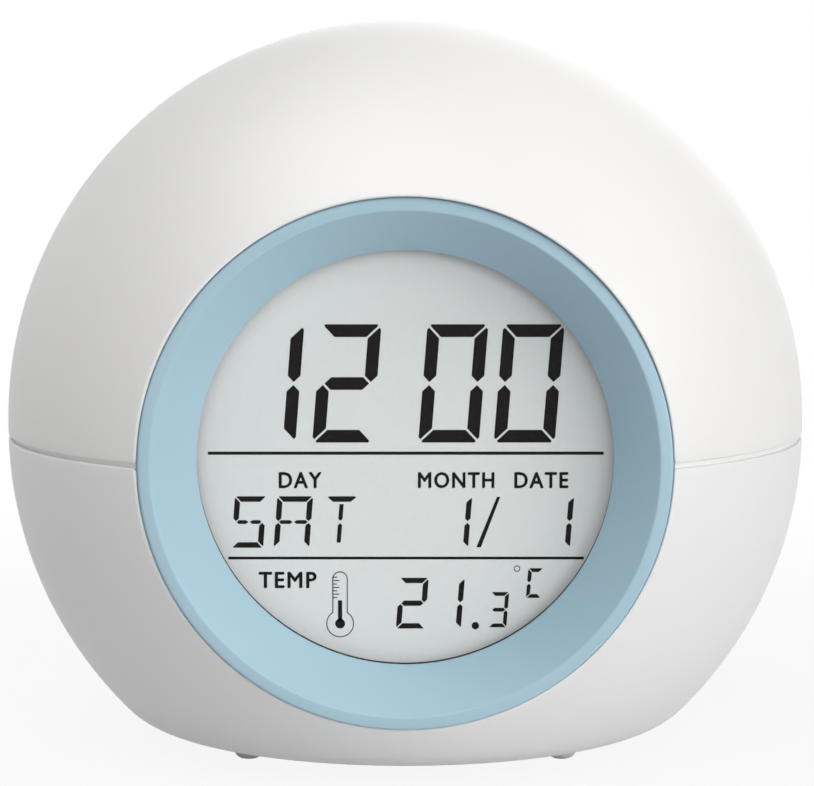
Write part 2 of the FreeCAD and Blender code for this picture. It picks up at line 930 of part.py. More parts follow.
def grille():
    """Sound slots with round ends that fill a circle in front of the speaker."""
    end_radius = grille_slot_height / 2
    slots = []
    for i in range(grille_slots):
        rise = (i - (grille_slots - 1) / 2) * grille_pitch
        x = math.sqrt(grille_radius**2 - rise**2) - end_radius
        z = seam_z + speaker_lift + rise
        y0 = panel_inner_y - PAST
        y1 = panel_y + PAST
        middle = block(-x, x, y0, y1, z - end_radius, z + end_radius)
        ends = [rod_y(end_radius, side * x, z, y0, y1) for side in (-1, 1)]
        slots.append(middle.fuse(ends).removeSplitter())
    return slots


def rear_panel():
    flange_back_y = rear_flange_y - flange_thickness
    inner = panel_radius - panel_wall
    panel = turned(
        [
            (0, panel_y),
            (panel_radius - panel_break, panel_y),
            (panel_radius, panel_y - panel_break),
            (panel_radius, rear_flange_y),
            (rear_flange_radius, rear_flange_y),
            (rear_flange_radius, flange_back_y),
            (inner, flange_back_y),
            (inner, panel_inner_y),
            (0, panel_inner_y),
        ]
    )
    fence_z = seam_z + speaker_lift
    fence_bore = speaker_radius + fence_clearance
    fence = rod_y(fence_bore + fence_wall, 0, fence_z, speaker_back_y, panel_inner_y)
    fence = fence.cut(rod_y(fence_bore, 0, fence_z, speaker_back_y - PAST, panel_y))
    bosses = [rod_y(boss_radius, x, z, key_board_y, panel_inner_y) for x, z in panel_boss_places()]
    panel = panel.fuse([fence] + bosses)
    return panel.cut(panel_cutters())


def panel_cutters():
    holes = grille()
    holes += [
        rod_y(key_radius + key_gap, x, z, panel_inner_y - PAST, panel_y + PAST)
        for x, z in key_places()
    ]
    pilot_y = key_board_y + screw_bite + screw_clearance
    holes += [
        rod_y(screw_radius + pilot_clearance, x, z, key_board_y - PAST, pilot_y)
        for x, z in panel_boss_places()
    ]
    slot_x = (knob_width + slide_travel) / 2 + knob_gap
    slot_z = knob_height / 2 + knob_gap
    switch_z = seam_z - switch_drop
    slot = block(-slot_x, slot_x, panel_inner_y - PAST, panel_y + PAST, switch_z - slot_z, switch_z + slot_z)
    holes.append(rounded(slot, knob_gap + knob_round, lambda e: runs_along(e, Y_AXIS)))
    return holes


def speaker_gasket():
    z = seam_z + speaker_lift
    ring = rod_y(speaker_radius, 0, z, speaker_front_y, panel_inner_y)
    return ring.cut(rod_y(speaker_radius - speaker_rim, 0, z, speaker_front_y - PAST, panel_y))


def turned_speaker(outline):
    """Turns (radius, distance behind the speaker's front) points about the speaker's axis."""
    z = seam_z + speaker_lift
    points = [Vector(r, speaker_front_y - d, z) for r, d in outline]
    face = Part.Face(Part.makePolygon(points + points[:1]))
    return face.revolve(Vector(0, 0, z), Y_AXIS, 360)


def speaker_basket():
    """A pressed metal dish with a flat rim."""
    foot = magnet_radius + basket_wall
    return turned_speaker(
        [
            (speaker_radius, 0),
            (speaker_radius, speaker_rim_thickness),
            (speaker_radius - speaker_rim, speaker_rim_thickness),
            (foot, speaker_depth),
            (0, speaker_depth),
            (0, speaker_depth - basket_wall),
            (foot - basket_wall / 2, speaker_depth - basket_wall),
            (speaker_radius - speaker_rim - basket_wall, speaker_rim_thickness - basket_wall / 2),
            (speaker_radius - speaker_rim, 0),
        ]
    )


def speaker_magnet():
    z = seam_z + speaker_lift
    front_y = speaker_front_y - speaker_depth
    back_y = front_y - magnet_thickness
    return rod_y(magnet_radius, 0, z, back_y, front_y)


def speaker_cone():
    """A thin film that sags to its middle, held by the basket's rim."""
    edge = speaker_radius - speaker_rim - cone_inset
    return turned_speaker(
        [(edge, 0), (edge, cone_thickness), (0, cone_thickness + cone_sag), (0, cone_sag)]
    )


def key(x, z):
    """A round cap with a flange that stops it behind the panel, and a stem for the switch."""
    flange_y = panel_inner_y - seat_clearance
    outline = [
        (0, panel_y + key_rise),
        (key_radius - key_break, panel_y + key_rise),
        (key_radius, panel_y + key_rise - key_break),
        (key_radius, flange_y),
        (key_radius + key_flange, flange_y),
        (key_radius + key_flange, flange_y - key_flange_thickness),
        (key_stem_radius, flange_y - key_flange_thickness),
        (key_stem_radius, key_stem_y),
        (0, key_stem_y),
    ]
    made = turned(outline)
    made.translate(Vector(x, 0, z - seam_z))
    return made


def tact_body(x, z):
    """A square switch with a bore for its plunger."""
    half = tact_side / 2
    body = block(x - half, x + half, key_board_y, key_board_y + tact_height, z - half, z + half)
    bore_foot = key_board_y + tact_height - key_travel - plunger_foot - plunger_gap
    bore = rod_y(plunger_radius + plunger_gap, x, z, bore_foot, key_board_y + tact_height + 1)
    return body.cut(bore)


def plunger(x, z):
    start = key_board_y + tact_height - plunger_foot
    return rod_y(plunger_radius, x, z, start, key_stem_y)


def key_board():
    """The part of a disc below the speaker."""
    disc = rod_y(key_board_radius, 0, seam_z, key_board_back_y, key_board_y)
    top_z = seam_z - key_drop + tact_side / 2 + board_rim
    disc = disc.cut(above(top_z))
    holes = [
        rod_y(screw_radius + screw_clearance, x, z, key_board_back_y - PAST, key_board_y + PAST)
        for x, z in panel_boss_places()
    ]
    return disc.cut(holes)


def switch_body():
    """The slide switch on the key board, with a groove in which its knob runs."""
    z = seam_z - switch_drop
    half_x = switch_body_width / 2
    half_z = switch_body_height / 2
    top_y = key_board_y + switch_body_depth
    body = block(-half_x, half_x, key_board_y, top_y, z - half_z, z + half_z)
    groove_x = (knob_width + slide_travel) / 2 + knob_gap
    groove_z = knob_stem_height / 2 + knob_gap
    groove_y = top_y - knob_dip - knob_gap
    groove = block(-groove_x, groove_x, groove_y, top_y + PAST, z - groove_z, z + groove_z)
    return body.cut(groove)


def knob():
    """Drawn at the left end of its travel, as seen from the front."""
    z = seam_z - switch_drop
    x0 = -(knob_width + slide_travel) / 2
    x1 = x0 + knob_width
    outer_y = panel_y + knob_rise
    flange_y = panel_inner_y - seat_clearance
    foot_y = flange_y - key_flange_thickness
    cap = block(x0, x1, foot_y, outer_y, z - knob_height / 2, z + knob_height / 2)
    cap = rounded(cap, knob_round, lambda e: runs_along(e, Y_AXIS))
    half_groove = knob_groove_width / 2
    groove_middles = [(x0 + x1) / 2 + i * knob_groove_pitch for i in (-1, 0, 1)]
    grooves = [
        block(x - half_groove, x + half_groove, outer_y - knob_groove_depth, FAR, -FAR, FAR)
        for x in groove_middles
    ]
    flange_z = knob_height / 2 + knob_flange
    flange = block(
        x0 - knob_flange,
        x1 + knob_flange,
        flange_y - key_flange_thickness,
        flange_y,
        z - flange_z,
        z + flange_z,
    )
    stem_y = key_board_y + switch_body_depth - knob_dip
    stem = block(x0, x1, stem_y, flange_y, z - knob_stem_height / 2, z + knob_stem_height / 2)
    return cap.cut(grooves).fuse([flange, stem]).removeSplitter()


# Battery door and contacts


def door():
    """A plate with a round hinge edge, pins at its ends and a latch tongue at the far end."""
    y0 = mid_y - door_half_width
    y1 = mid_y + door_half_width
    plate = block(hinge_x, door_end_x, y0, y1, base_z, door_inner_z)
    plate = rounded(plate, door_corner, lambda e: runs_along(e, Z_AXIS) and e.CenterOfMass.x > 0)
    barrel = rod(barrel_radius, Vector(hinge_x, y0, hinge_z), Vector(hinge_x, y1, hinge_z))
    pins = rod(
        hinge_pin_radius,
        Vector(hinge_x, y0 - hinge_pin_length, hinge_z),
        Vector(hinge_x, y1 + hinge_pin_length, hinge_z),
    )
    tongue = block(
        latch_x,
        latch_x + latch_thickness,
        mid_y - latch_width / 2,
        mid_y + latch_width / 2,
        base_z + door_thickness / 2,
        latch_top_z,
    )
    bump_z = latch_top_z - latch_thickness
    bump = rod(
        latch_bump,
        Vector(latch_x + latch_thickness, mid_y - latch_width / 2, bump_z),
        Vector(latch_x + latch_thickness, mid_y + latch_width / 2, bump_z),
    )
    plate = plate.fuse([barrel, pins, tongue, bump]).removeSplitter()
    scoop_x = door_end_x - scoop_reach
    scoop_radius = door_thickness + scoop_reach
    scoop = Part.makeSphere(
        scoop_radius,
        Vector(scoop_x, mid_y, base_z - scoop_radius + door_thickness / 2),
    )
    return plate.cut(scoop)


def cell(side):
    """A battery lying along X. Its nub points to -X on one side and to +X on the other."""
    y = mid_y + side * cell_offset
    nub_x = nub_end_x - nub_height
    flat_x = nub_end_x - cell_length
    outline = [
        (0, flat_x),
        (cell_radius - cell_break, flat_x),
        (cell_radius, flat_x + cell_break),
        (cell_radius, nub_x - cell_break),
        (cell_radius - cell_break, nub_x),
        (nub_radius, nub_x),
        (nub_radius, nub_end_x),
        (0, nub_end_x),
    ]
    face = Part.Face(Part.Wire(sides_between([Vector(side * a, y, cell_z + r) for r, a in outline])))
    return face.revolve(Vector(0, y, cell_z), X_AXIS, 360)


def contact_plate(x_side, y_side):
    """A plate against the end wall of the bay, on the axis of one battery."""
    x0 = -bay_half_length if x_side < 0 else bay_half_length - contact_thickness
    y = mid_y + y_side * cell_offset
    return block(
        x0,
        x0 + contact_thickness,
        y - contact_half_width,
        y + contact_half_width,
        cell_z - contact_half_height,
        cell_z + contact_half_height,
    )


def tailed_contact(y_side):
    """An end contact with a tail that passes up through the roof of the bay."""
    plate = contact_plate(-1, y_side)
    y = mid_y + y_side * cell_offset
    tail = block(
        -bay_half_length,
        -bay_half_length + contact_thickness,
        y - contact_tail / 2,
        y + contact_tail / 2,
        cell_z,
        roof_top_z + contact_tail,
    )
    return plate.fuse(tail).removeSplitter()


def joining_contact():
    """The plate that joins both batteries at the far end of the bay."""
    bridge = block(
        bay_half_length - contact_thickness,
        bay_half_length,
        mid_y - cell_offset,
        mid_y + cell_offset,
        cell_z - contact_half_height / 2,
        cell_z + contact_half_height / 2,
    )
    return bridge.fuse([contact_plate(1, -1), contact_plate(1, 1)]).removeSplitter()


def arc_from(start, tangent_point, end):
    """The arc from start to end that is tangent to the equal legs through tangent_point."""
    leg = start.distanceToPoint(tangent_point)
    weight = start.distanceToPoint(end) / 2 / leg
    middle = (start + tangent_point * (2 * weight) + end) * (1 / (2 + 2 * weight))
    return Part.Arc(start, middle, end).toShape()


def biarc(p0, t0, p1, t1):
    """Two arcs that join p0 to p1 and keep the unit tangents t0 and t1."""
    chord = p1 - p0
    both = t0 + t1
    a = both.dot(both) - 4
    b = -2 * chord.dot(both)
    c = chord.dot(chord)
    leg = 2 * c / (-b + math.sqrt(b * b - 4 * a * c))
    corner0 = p0 + t0 * leg
    corner1 = p1 - t1 * leg
    join = (corner0 + corner1) * 0.5
    return [arc_from(p0, corner0, join), arc_from(join, corner1, p1)]


def contact_spring(x_side, y_side):
    """A conical coil from its plate to the flat end of its battery, one unbroken wire."""
    y = mid_y + y_side * cell_offset
    plate_x = x_side * (bay_half_length - contact_thickness)
    length = spring_room - 2 * spring_wire

    def at(s):
        angle = 2 * math.pi * spring_turns * s
        radius = spring_radius + (spring_tip_radius - spring_radius) * s
        x = plate_x - x_side * (spring_wire + length * s)
        return Vector(x, y + radius * math.cos(angle), cell_z + radius * math.sin(angle))

    def heading(s):
        angle = 2 * math.pi * spring_turns * s
        radius = spring_radius + (spring_tip_radius - spring_radius) * s
        shrink = (spring_tip_radius - spring_radius) / (2 * math.pi * spring_turns)
        rise = -x_side * length / (2 * math.pi * spring_turns)
        along = Vector(
            rise,
            shrink * math.cos(angle) - radius * math.sin(angle),
            shrink * math.sin(angle) + radius * math.cos(angle),
        )
        return along.normalize()

    steps = 4 * spring_turns
    edges = []
    for i in range(steps):
        near = i / steps
        far = (i + 1) / steps
        edges += biarc(at(near), heading(near), at(far), heading(far))
    path = Part.Wire(edges)
    ring = wire_section(at(0), heading(0), spring_wire)
    samples = spring_samples * spring_turns
    return path.makePipeShell([ring], True, False), [at(i / samples) for i in range(samples + 1)]


def least_gap(points, turn_points, wire):
    """The least gap between parts of a coil's wire that are half a turn or more apart."""
    nearest = min(
        points[i].distanceToPoint(points[j])
        for i in range(len(points))
        for j in range(i + turn_points, len(points))
    )
    return nearest - 2 * wire


def foot(x, y):
    """A soft pad that tapers to the surface it stands on, glued in its pocket."""
    taper = Part.makeCone(foot_radius - foot_taper, foot_radius, base_z, Vector(x, y, 0))
    return taper.fuse(rod_z(foot_radius, x, y, base_z, base_z + foot_pocket)).removeSplitter()


# Leads


def swept(points, section):
    """A section along straight runs with an arc at each turn, as large as its runs allow."""
    runs = [points[i + 1] - points[i] for i in range(len(points) - 1)]
    edges = []
    start = points[0]
    for i in range(1, len(points) - 1):
        before = Vector(runs[i - 1]).normalize()
        after = Vector(runs[i]).normalize()
        leg = lead_share * min(runs[i - 1].Length, runs[i].Length)
        arc_start = points[i] - before * leg
        arc_end = points[i] + after * leg
        edges.append(Part.makeLine(start, arc_start))
        edges.append(arc_from(arc_start, points[i], arc_end))
        start = arc_end
    edges.append(Part.makeLine(start, points[-1]))
    return Part.Wire(edges).makePipeShell([section], True, False)


def wire_section(point, direction, radius):
    """The section of a wire, square to its direction."""
    along = Vector(direction).normalize()
    across = along.cross(X_AXIS if abs(along.x) < abs(along.z) else Z_AXIS).normalize()
    upward = along.cross(across)
    angles = [2 * math.pi * i / wire_sides for i in range(wire_sides + 1)]
    corners = [point + (across * math.cos(a) + upward * math.sin(a)) * radius for a in angles]
    return Part.makePolygon(corners)


def lead(points, radius):
    return swept(points, wire_section(points[0], points[1] - points[0], radius))


def battery_leads():
    """From the two tails on the roof of the bay to the power plug, held low over the roof."""
    top_z = roof_top_z + contact_tail
    x = -bay_half_length + contact_thickness / 2
    plug_x, plug_z = power_plug_place
    low_z = plug_z - 2 * lead_pitch
    bend_y = plug_back_y + lead_reach
    front_y = mid_y - cell_offset
    rear_y = mid_y + cell_offset
    front = [
        Vector(x, front_y, top_z),
        Vector(x, front_y, top_z + lead_rise),
        Vector(-lead_sweep, bend_y, low_z),
        Vector(plug_x - lead_pitch, bend_y - lead_pitch, plug_z),
        Vector(plug_x - lead_pitch, plug_back_y, plug_z),
    ]
    rear = [
        Vector(x, rear_y, top_z),
        Vector(x, rear_y, top_z + lead_rise + lead_pitch),
        Vector(-lead_sweep + lead_pitch, bend_y + 2 * lead_pitch, low_z),
        Vector(plug_x + lead_pitch, bend_y, plug_z),
        Vector(plug_x + lead_pitch, plug_back_y, plug_z),
    ]
    return [lead(points, lead_radius) for points in (front, rear)]


def light_leads():
    """From the underside of the light board down to its plug."""
    plug_x, plug_z = light_plug_place
    start_z = light_board_z - board_thickness
    made = []
    for side in (-1, 1):
        x = light_lead_x + side * lead_pitch
        points = [
            Vector(x, light_lead_y, start_z),
            Vector(x, light_lead_y, start_z - lead_reach),
            Vector(plug_x + side * lead_pitch, plug_back_y + lead_reach, plug_z),
            Vector(plug_x + side * lead_pitch, plug_back_y, plug_z),
        ]
        made.append(lead(points, lead_radius))
    return made


def speaker_leads():
    """From the rim of the speaker, over the edge of the key board and back onto it."""
    rim_z = seam_z + speaker_lift - speaker_radius + speaker_rim / 2
    board_z = key_board_top_z - 4 * lead_radius
    turn_y = key_board_back_y - lead_rise - lead_pitch
    made = []
    for side in (-1, 1):
        x = 2 * side * lead_pitch
        points = [
            Vector(x, speaker_back_y, rim_z),
            Vector(x, turn_y, rim_z),
            Vector(x, turn_y, board_z),
            Vector(x, key_board_back_y, board_z),
        ]
        made.append(lead(points, lead_radius))
    return made


def key_ribbon():
    """A flat cable from the key board to its plug, sagging a little between them."""
    x, plug_z = key_plug_place
    points = [
        Vector(x, plug_back_y, plug_z),
        Vector(x, plug_back_y + ribbon_reach, plug_z),
        Vector(x, (plug_back_y + key_board_back_y) / 2, plug_z - ribbon_dip),
        Vector(x, key_board_back_y - ribbon_reach / 2, plug_z),
        Vector(x, key_board_back_y, plug_z),
    ]
    half = ribbon_thickness / 2
    corners = [
        Vector(x + sx * ribbon_width / 2, plug_back_y, plug_z + sz * half)
        for sx, sz in ((-1, -1), (1, -1), (1, 1), (-1, 1))
    ]
    section = Part.makePolygon(corners + corners[:1])
    return swept(points, section)


# Build

os.makedirs("parts", exist_ok=True)

save("upper_shell", dome_shell())
save("lower_shell", bowl_shell())
save("bezel_ring", bezel())
save("display_lens", lens())
save("lens_gasket", lens_gasket())
save("lcd_glass", glass_plates())
save("glass_guide", glass_guide())
save("backlight_panel", backlight(0, glass_y + glass_thickness))
save("backlight_leds", *edge_leds())
save("contact_strips", contact_strip(1, 0), contact_strip(-1, 0))
save("main_board", main_board())
save("controller_blob", controller_blob())
save("quartz_crystal", quartz_crystal())
save("board_capacitor", capacitor())
save("board_transistor", transistor())
save("temperature_sensor", temperature_sensor())
save("power_plug", plug(*power_plug_place))
save("light_plug", plug(*light_plug_place))
save("key_plug", plug(*key_plug_place))
save("display_screws", *display_screws())

save("light_board", light_board())
save("night_light_leds", *night_light_leds())
save("tap_sensor", tap_sensor())
save("light_board_screws", *light_board_screws())

save("rear_panel", rear_panel())
save("speaker_gasket", speaker_gasket())
save("speaker_basket", speaker_basket())
save("speaker_magnet", speaker_magnet())
save("speaker_cone", speaker_cone())
save("key_board", key_board())
save("tact_switches", *[tact_body(x, z) for x, z in key_places()])
save("key_board_screws", *key_board_screws())
save("slide_switch", switch_body())
save("light_switch_knob", knob())
for name, (x, z) in zip(("mode", "alarm", "up", "down"), key_places()):
    save(name + "_key", key(x, z))
    save(name + "_plunger", plunger(x, z))

save("battery_door", door())
for name, side in (("front", -1), ("rear", 1)):
    save(name + "_battery", cell(side))
    save(name + "_contact", tailed_contact(side))
    spring, coil_points = contact_spring(-side, side)
    save(name + "_spring", spring)
save("joining_contact", joining_contact())
turn_points = len(coil_points) // (2 * spring_turns)
print("least gap in a battery spring: %.2f mm" % least_gap(coil_points, turn_points, spring_wire))

for number, (x, y) in enumerate(feet_places(), 1):
    save("foot_%d" % number, foot(x, y))

save("battery_leads", *battery_leads())
save("light_leads", *light_leads())
save("speaker_leads", *speaker_leads())
save("key_ribbon", key_ribbon())
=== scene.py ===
import json
import math

import bmesh
import bpy
from mathutils import Matrix, Vector


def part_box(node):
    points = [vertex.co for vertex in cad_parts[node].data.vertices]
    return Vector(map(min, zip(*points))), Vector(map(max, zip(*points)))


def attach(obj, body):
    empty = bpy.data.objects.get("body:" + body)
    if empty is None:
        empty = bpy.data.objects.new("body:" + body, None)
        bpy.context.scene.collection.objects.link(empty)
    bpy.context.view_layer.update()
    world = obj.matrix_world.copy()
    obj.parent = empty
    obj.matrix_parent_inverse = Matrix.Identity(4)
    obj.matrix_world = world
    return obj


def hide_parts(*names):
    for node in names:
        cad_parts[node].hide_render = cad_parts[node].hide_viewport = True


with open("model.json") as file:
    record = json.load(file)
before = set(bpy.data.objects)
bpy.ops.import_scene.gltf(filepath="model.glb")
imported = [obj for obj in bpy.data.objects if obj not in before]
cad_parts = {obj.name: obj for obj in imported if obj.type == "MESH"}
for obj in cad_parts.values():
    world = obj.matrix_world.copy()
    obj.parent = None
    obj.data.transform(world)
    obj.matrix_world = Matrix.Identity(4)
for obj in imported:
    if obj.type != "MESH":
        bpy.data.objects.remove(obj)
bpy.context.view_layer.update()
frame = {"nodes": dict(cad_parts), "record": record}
print("frame loaded:", len(frame["nodes"]), "nodes")

# everything is in metres, and sizes are written in millimetres times mm
mm = 0.001

# how near counts as the same: lengths, welds, cell ends, shares of a grid and level normals
near = {
    "length": 0.001 * mm,
    "weld": 0.0005 * mm,
    "cellEnd": 0.01 * mm,
    "place": 0.0001,
    "level": 0.99,
}


def toLinear(hexColour):
    # the curve of sRGB, as its standard gives it
    parts = [int(hexColour[i : i + 2], 16) / 255 for i in (1, 3, 5)]
    linear = [p / 12.92 if p < 0.04045 else ((p + 0.055) / 1.055) ** 2.4 for p in parts]
    return (*linear, 1)


def addNode(tree, kind, settings=None, links=None):
    node = tree.nodes.new(kind)
    for name, value in (settings or {}).items():
        if isinstance(name, int) or name in node.inputs:
            node.inputs[name].default_value = value
        else:
            setattr(node, name, value)
    for name, source in (links or {}).items():
        tree.links.new(source, node.inputs[name])
    return node


def startMaterial(name, settings):
    material = bpy.data.materials.new(name)
    material.use_nodes = True
    tree = material.node_tree
    shader = tree.nodes["Principled BSDF"]
    for socket, value in settings.items():
        shader.inputs[socket].default_value = value
    place = addNode(tree, "ShaderNodeTexCoord").outputs["Object"]
    return material, tree, shader, place


def addRelief(tree, shader, relief, look):
    # relief moves the roughness between its two ends and lifts the skin
    low, high = look["roughness"]
    ends = {"To Min": low, "To Max": high}
    spread = addNode(tree, "ShaderNodeMapRange", ends, {"Value": relief})
    tree.links.new(spread.outputs["Result"], shader.inputs["Roughness"])
    bump = addNode(tree, "ShaderNodeBump", {"Distance": look["depth"]}, {"Height": relief})
    tree.links.new(bump.outputs["Normal"], shader.inputs["Normal"])


def dressSurface(tree, shader, tint, relief, look):
    # tint moves the colour between two shades
    shades = addNode(tree, "ShaderNodeValToRGB", links={"Fac": tint})
    shades.color_ramp.elements[0].color = toLinear(look["darker"])
    shades.color_ramp.elements[1].color = toLinear(look["lighter"])
    tree.links.new(shades.outputs["Color"], shader.inputs["Base Color"])
    addRelief(tree, shader, relief, look)


def makeSurface(name, look):
    # broad patches shade the colour, and a fine grain sets the sheen;
    # stretch draws both out along an axis. the real grain of moulded plastic, ferrite or
    # rolled metal is 0.02 to 0.1 mm across, too fine to show, and is drawn at 0.25 mm or more
    material, tree, shader, place = startMaterial(name, look["shader"])
    scale = look.get("stretch", (1, 1, 1))
    stretch = addNode(tree, "ShaderNodeMapping", {"Scale": scale}, {"Vector": place})
    where = {"Vector": stretch.outputs["Vector"]}
    broad = {"Scale": 1 / look["patch"], "Detail": 2.0}
    fine = {"Scale": 1 / look["grain"], "Detail": 3.0}
    patch = addNode(tree, "ShaderNodeTexNoise", broad, where)
    grain = addNode(tree, "ShaderNodeTexNoise", fine, where)
    dressSurface(tree, shader, patch.outputs["Fac"], grain.outputs["Fac"], look)
    return material


def addToScene(name, data):
    thing = bpy.data.objects.new(name, data)
    bpy.context.scene.collection.objects.link(thing)
    return thing


def meshObject(name, bm):
    mesh = bpy.data.meshes.new(name)
    bm.to_mesh(mesh)
    bm.free()
    return addToScene(name, mesh)


def finishPiece(name, bm, body, material, replaced=(), sharpAbove=35):
    bmesh.ops.recalc_face_normals(bm, faces=bm.faces[:])
    for face in bm.faces:
        face.smooth = True
    for edge in bm.edges:
        if len(edge.link_faces) == 2 and edge.calc_face_angle(0) > math.radians(sharpAbove):
            edge.smooth = False
    piece = meshObject(name, bm)
    piece.data.materials.append(material)
    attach(piece, body)
    if replaced:
        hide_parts(*replaced)
    return piece


def addOutline(bm, points):
    verts = [bm.verts.new(p) for p in points]
    return verts, [bm.edges.new((verts[i - 1], verts[i])) for i in range(len(verts))]


def spinOutline(bm, points, centre, axis, steps, rounds=()):
    # points are a closed outline, rounds are (index, radius) of corners to round off first
    verts = addOutline(bm, points)[0]
    for index, radius in rounds:
        bmesh.ops.bevel(
            bm,
            geom=[verts[index]],
            affect="VERTICES",
            offset=radius,
            segments=5,
            profile=0.5,
            material=-1,
        )
    loose = [e for e in bm.edges if not e.link_faces]
    corners = list({v for e in loose for v in e.verts})
    bmesh.ops.spin(
        bm,
        geom=corners + loose,
        cent=centre,
        axis=axis,
        angle=2 * math.pi,
        steps=steps,
        use_merge=True,
        use_duplicate=False,
    )
    bmesh.ops.remove_doubles(bm, verts=bm.verts[:], dist=near["weld"])
    wires = [e for e in bm.edges if not e.link_faces]
    bmesh.ops.delete(bm, geom=wires, context="EDGES")


domeLow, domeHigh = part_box("upper_shell")
ringLow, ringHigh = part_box("bezel_ring")
doorLow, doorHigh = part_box("battery_door")

ball = {
    "radius": 45.0 * mm,
    "wall": 2.2 * mm,
    "openingRound": 0.45 * mm,
    "openingSteps": 4,
    "seamRound": 0.15 * mm,
    "seamSteps": 3,
    "baseRound": 7.3 * mm,
    "frontOpening": 27.4 * mm,
    "rearOpening": 24.0 * mm,
    "lipRadius": 44.5 * mm,
    "seamTrim": 0.12 * mm,
    "lipWall": 0.9 * mm,
    "lipClearance": 0.15 * mm,
    "lipReach": 1.2 * mm,
    "lipSteps": 90,
    "rows": 112,
    "columns": 120,
}
midY = (doorLow.y + doorHigh.y) / 2
axisZ = (ringLow.z + ringHigh.z) / 2
seamHigh = domeLow.z - ball["seamTrim"]
seamLow = 2 * axisZ - seamHigh
domeMiddle = Vector((0, midY, domeHigh.z - ball["radius"]))
bowlMiddle = domeMiddle - Vector((0, 0, 2 * (domeLow.z - axisZ)))
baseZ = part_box("lower_shell")[0].z
rimY = ringLow.y
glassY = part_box("lcd_glass")[0].y

# milky polycarbonate, injection moulded: light creeps a little way under the surface
domePlastic = makeSurface(
    "milky_polycarbonate_moulded",
    {
        "darker": "#ecebea",
        "lighter": "#f2f1f0",
        "roughness": (0.42, 0.5),
        "patch": 26 * mm,
        "grain": 0.4 * mm,
        "depth": 0.003 * mm,
        "shader": {
            "IOR": 1.58,
            "Subsurface Weight": 0.12,
            "Subsurface Scale": 1.5 * mm,
            "Subsurface Radius": (1.0, 0.95, 0.9),
        },
    },
)

# white ABS, injection moulded: opaque and even, a touch cooler than the dome
casePlastic = makeSurface(
    "white_abs_moulded",
    {
        "darker": "#e9e9e9",
        "lighter": "#efefee",
        "roughness": (0.42, 0.5),
        "patch": 26 * mm,
        "grain": 0.4 * mm,
        "depth": 0.003 * mm,
        "shader": {"IOR": 1.54},
    },
)

# pale blue ABS, injection moulded with a finer grain: slightly glossier than the case
bezelPlastic = makeSurface(
    "pale_blue_abs_moulded",
    {
        "darker": "#abc9d7",
        "lighter": "#b1cedc",
        "roughness": (0.36, 0.44),
        "patch": 14 * mm,
        "grain": 0.3 * mm,
        "depth": 0.002 * mm,
        "shader": {"IOR": 1.54, "Specular IOR Level": 0.2},
    },
)

# grey thermoplastic rubber, moulded: soft, dull and a little dusty
footRubber = makeSurface(
    "grey_tpe_moulded",
    {
        "darker": "#d9d9d8",
        "lighter": "#e2e2e1",
        "roughness": (0.6, 0.75),
        "patch": 3 * mm,
        "grain": 0.25 * mm,
        "depth": 0.01 * mm,
        "shader": {"IOR": 1.5},
    },
)

# twisted nematic glass over a bead-blasted reflector: a pale grey-green field with a sparkle,
# which is drawn coarser than it is
lcdField = makeSurface(
    "lcd_reflective_field",
    {
        "darker": "#e8ebe9",
        "lighter": "#f0f2f0",
        "roughness": (0.42, 0.52),
        "patch": 0.35 * mm,
        "grain": 0.35 * mm,
        "depth": 0.001 * mm,
        "shader": {"IOR": 1.52, "Specular IOR Level": 0.3},
    },
)

# switched-on liquid crystal: near black and a little warm
lcdSegment = makeSurface(
    "lcd_segment_on",
    {
        "darker": "#151312",
        "lighter": "#1b1918",
        "roughness": (0.45, 0.55),
        "patch": 0.6 * mm,
        "grain": 0.4 * mm,
        "depth": 0.001 * mm,
        "shader": {"IOR": 1.52, "Specular IOR Level": 0.1},
    },
)

# cast acrylic, anti-glare coated: nearly all of the light passes, and only a soft sheen stays
windowAcrylic = makeSurface(
    "clear_acrylic_cast",
    {
        "darker": "#101314",
        "lighter": "#15191a",
        "roughness": (0.22, 0.3),
        "patch": 1.5 * mm,
        "grain": 0.5 * mm,
        "depth": 0.0005 * mm,
        "shader": {"IOR": 1.49, "Alpha": 0.02},
    },
)

# keys and knob: the blue of the bezel, polished in the mould
keyPlastic = makeSurface(
    "pale_blue_abs_polished",
    {
        "darker": "#a1c3d4",
        "lighter": "#a8c9d9",
        "roughness": (0.26, 0.36),
        "patch": 5 * mm,
        "grain": 0.3 * mm,
        "depth": 0.0015 * mm,
        "shader": {"IOR": 1.54},
    },
)

# acetal, moulded: slippery black pieces inside the switches
acetal = makeSurface(
    "black_acetal_moulded",
    {
        "darker": "#1b1b1c",
        "lighter": "#262627",
        "roughness": (0.3, 0.42),
        "patch": 2 * mm,
        "grain": 0.3 * mm,
        "depth": 0.002 * mm,
        "shader": {"IOR": 1.48},
    },
)

# unfilled nylon, moulded: a warm white that lets a little light in
nylon = makeSurface(
    "natural_nylon_moulded",
    {
        "darker": "#ded8c9",
        "lighter": "#ebe6d9",
        "roughness": (0.38, 0.5),
        "patch": 4 * mm,
        "grain": 0.3 * mm,
        "depth": 0.003 * mm,
        "shader": {"IOR": 1.53, "Subsurface Weight": 0.1, "Subsurface Scale": 0.8 * mm},
    },
)

# glass-filled nylon, moulded: mottled where the fibres lie near the skin
switchNylon = makeSurface(
    "glass_filled_nylon_moulded",
    {
        "darker": "#252628",
        "lighter": "#424346",
        "roughness": (0.5, 0.68),
        "patch": 0.8 * mm,
        "grain": 0.3 * mm,
        "depth": 0.006 * mm,
        "shader": {"IOR": 1.53},
    },
)

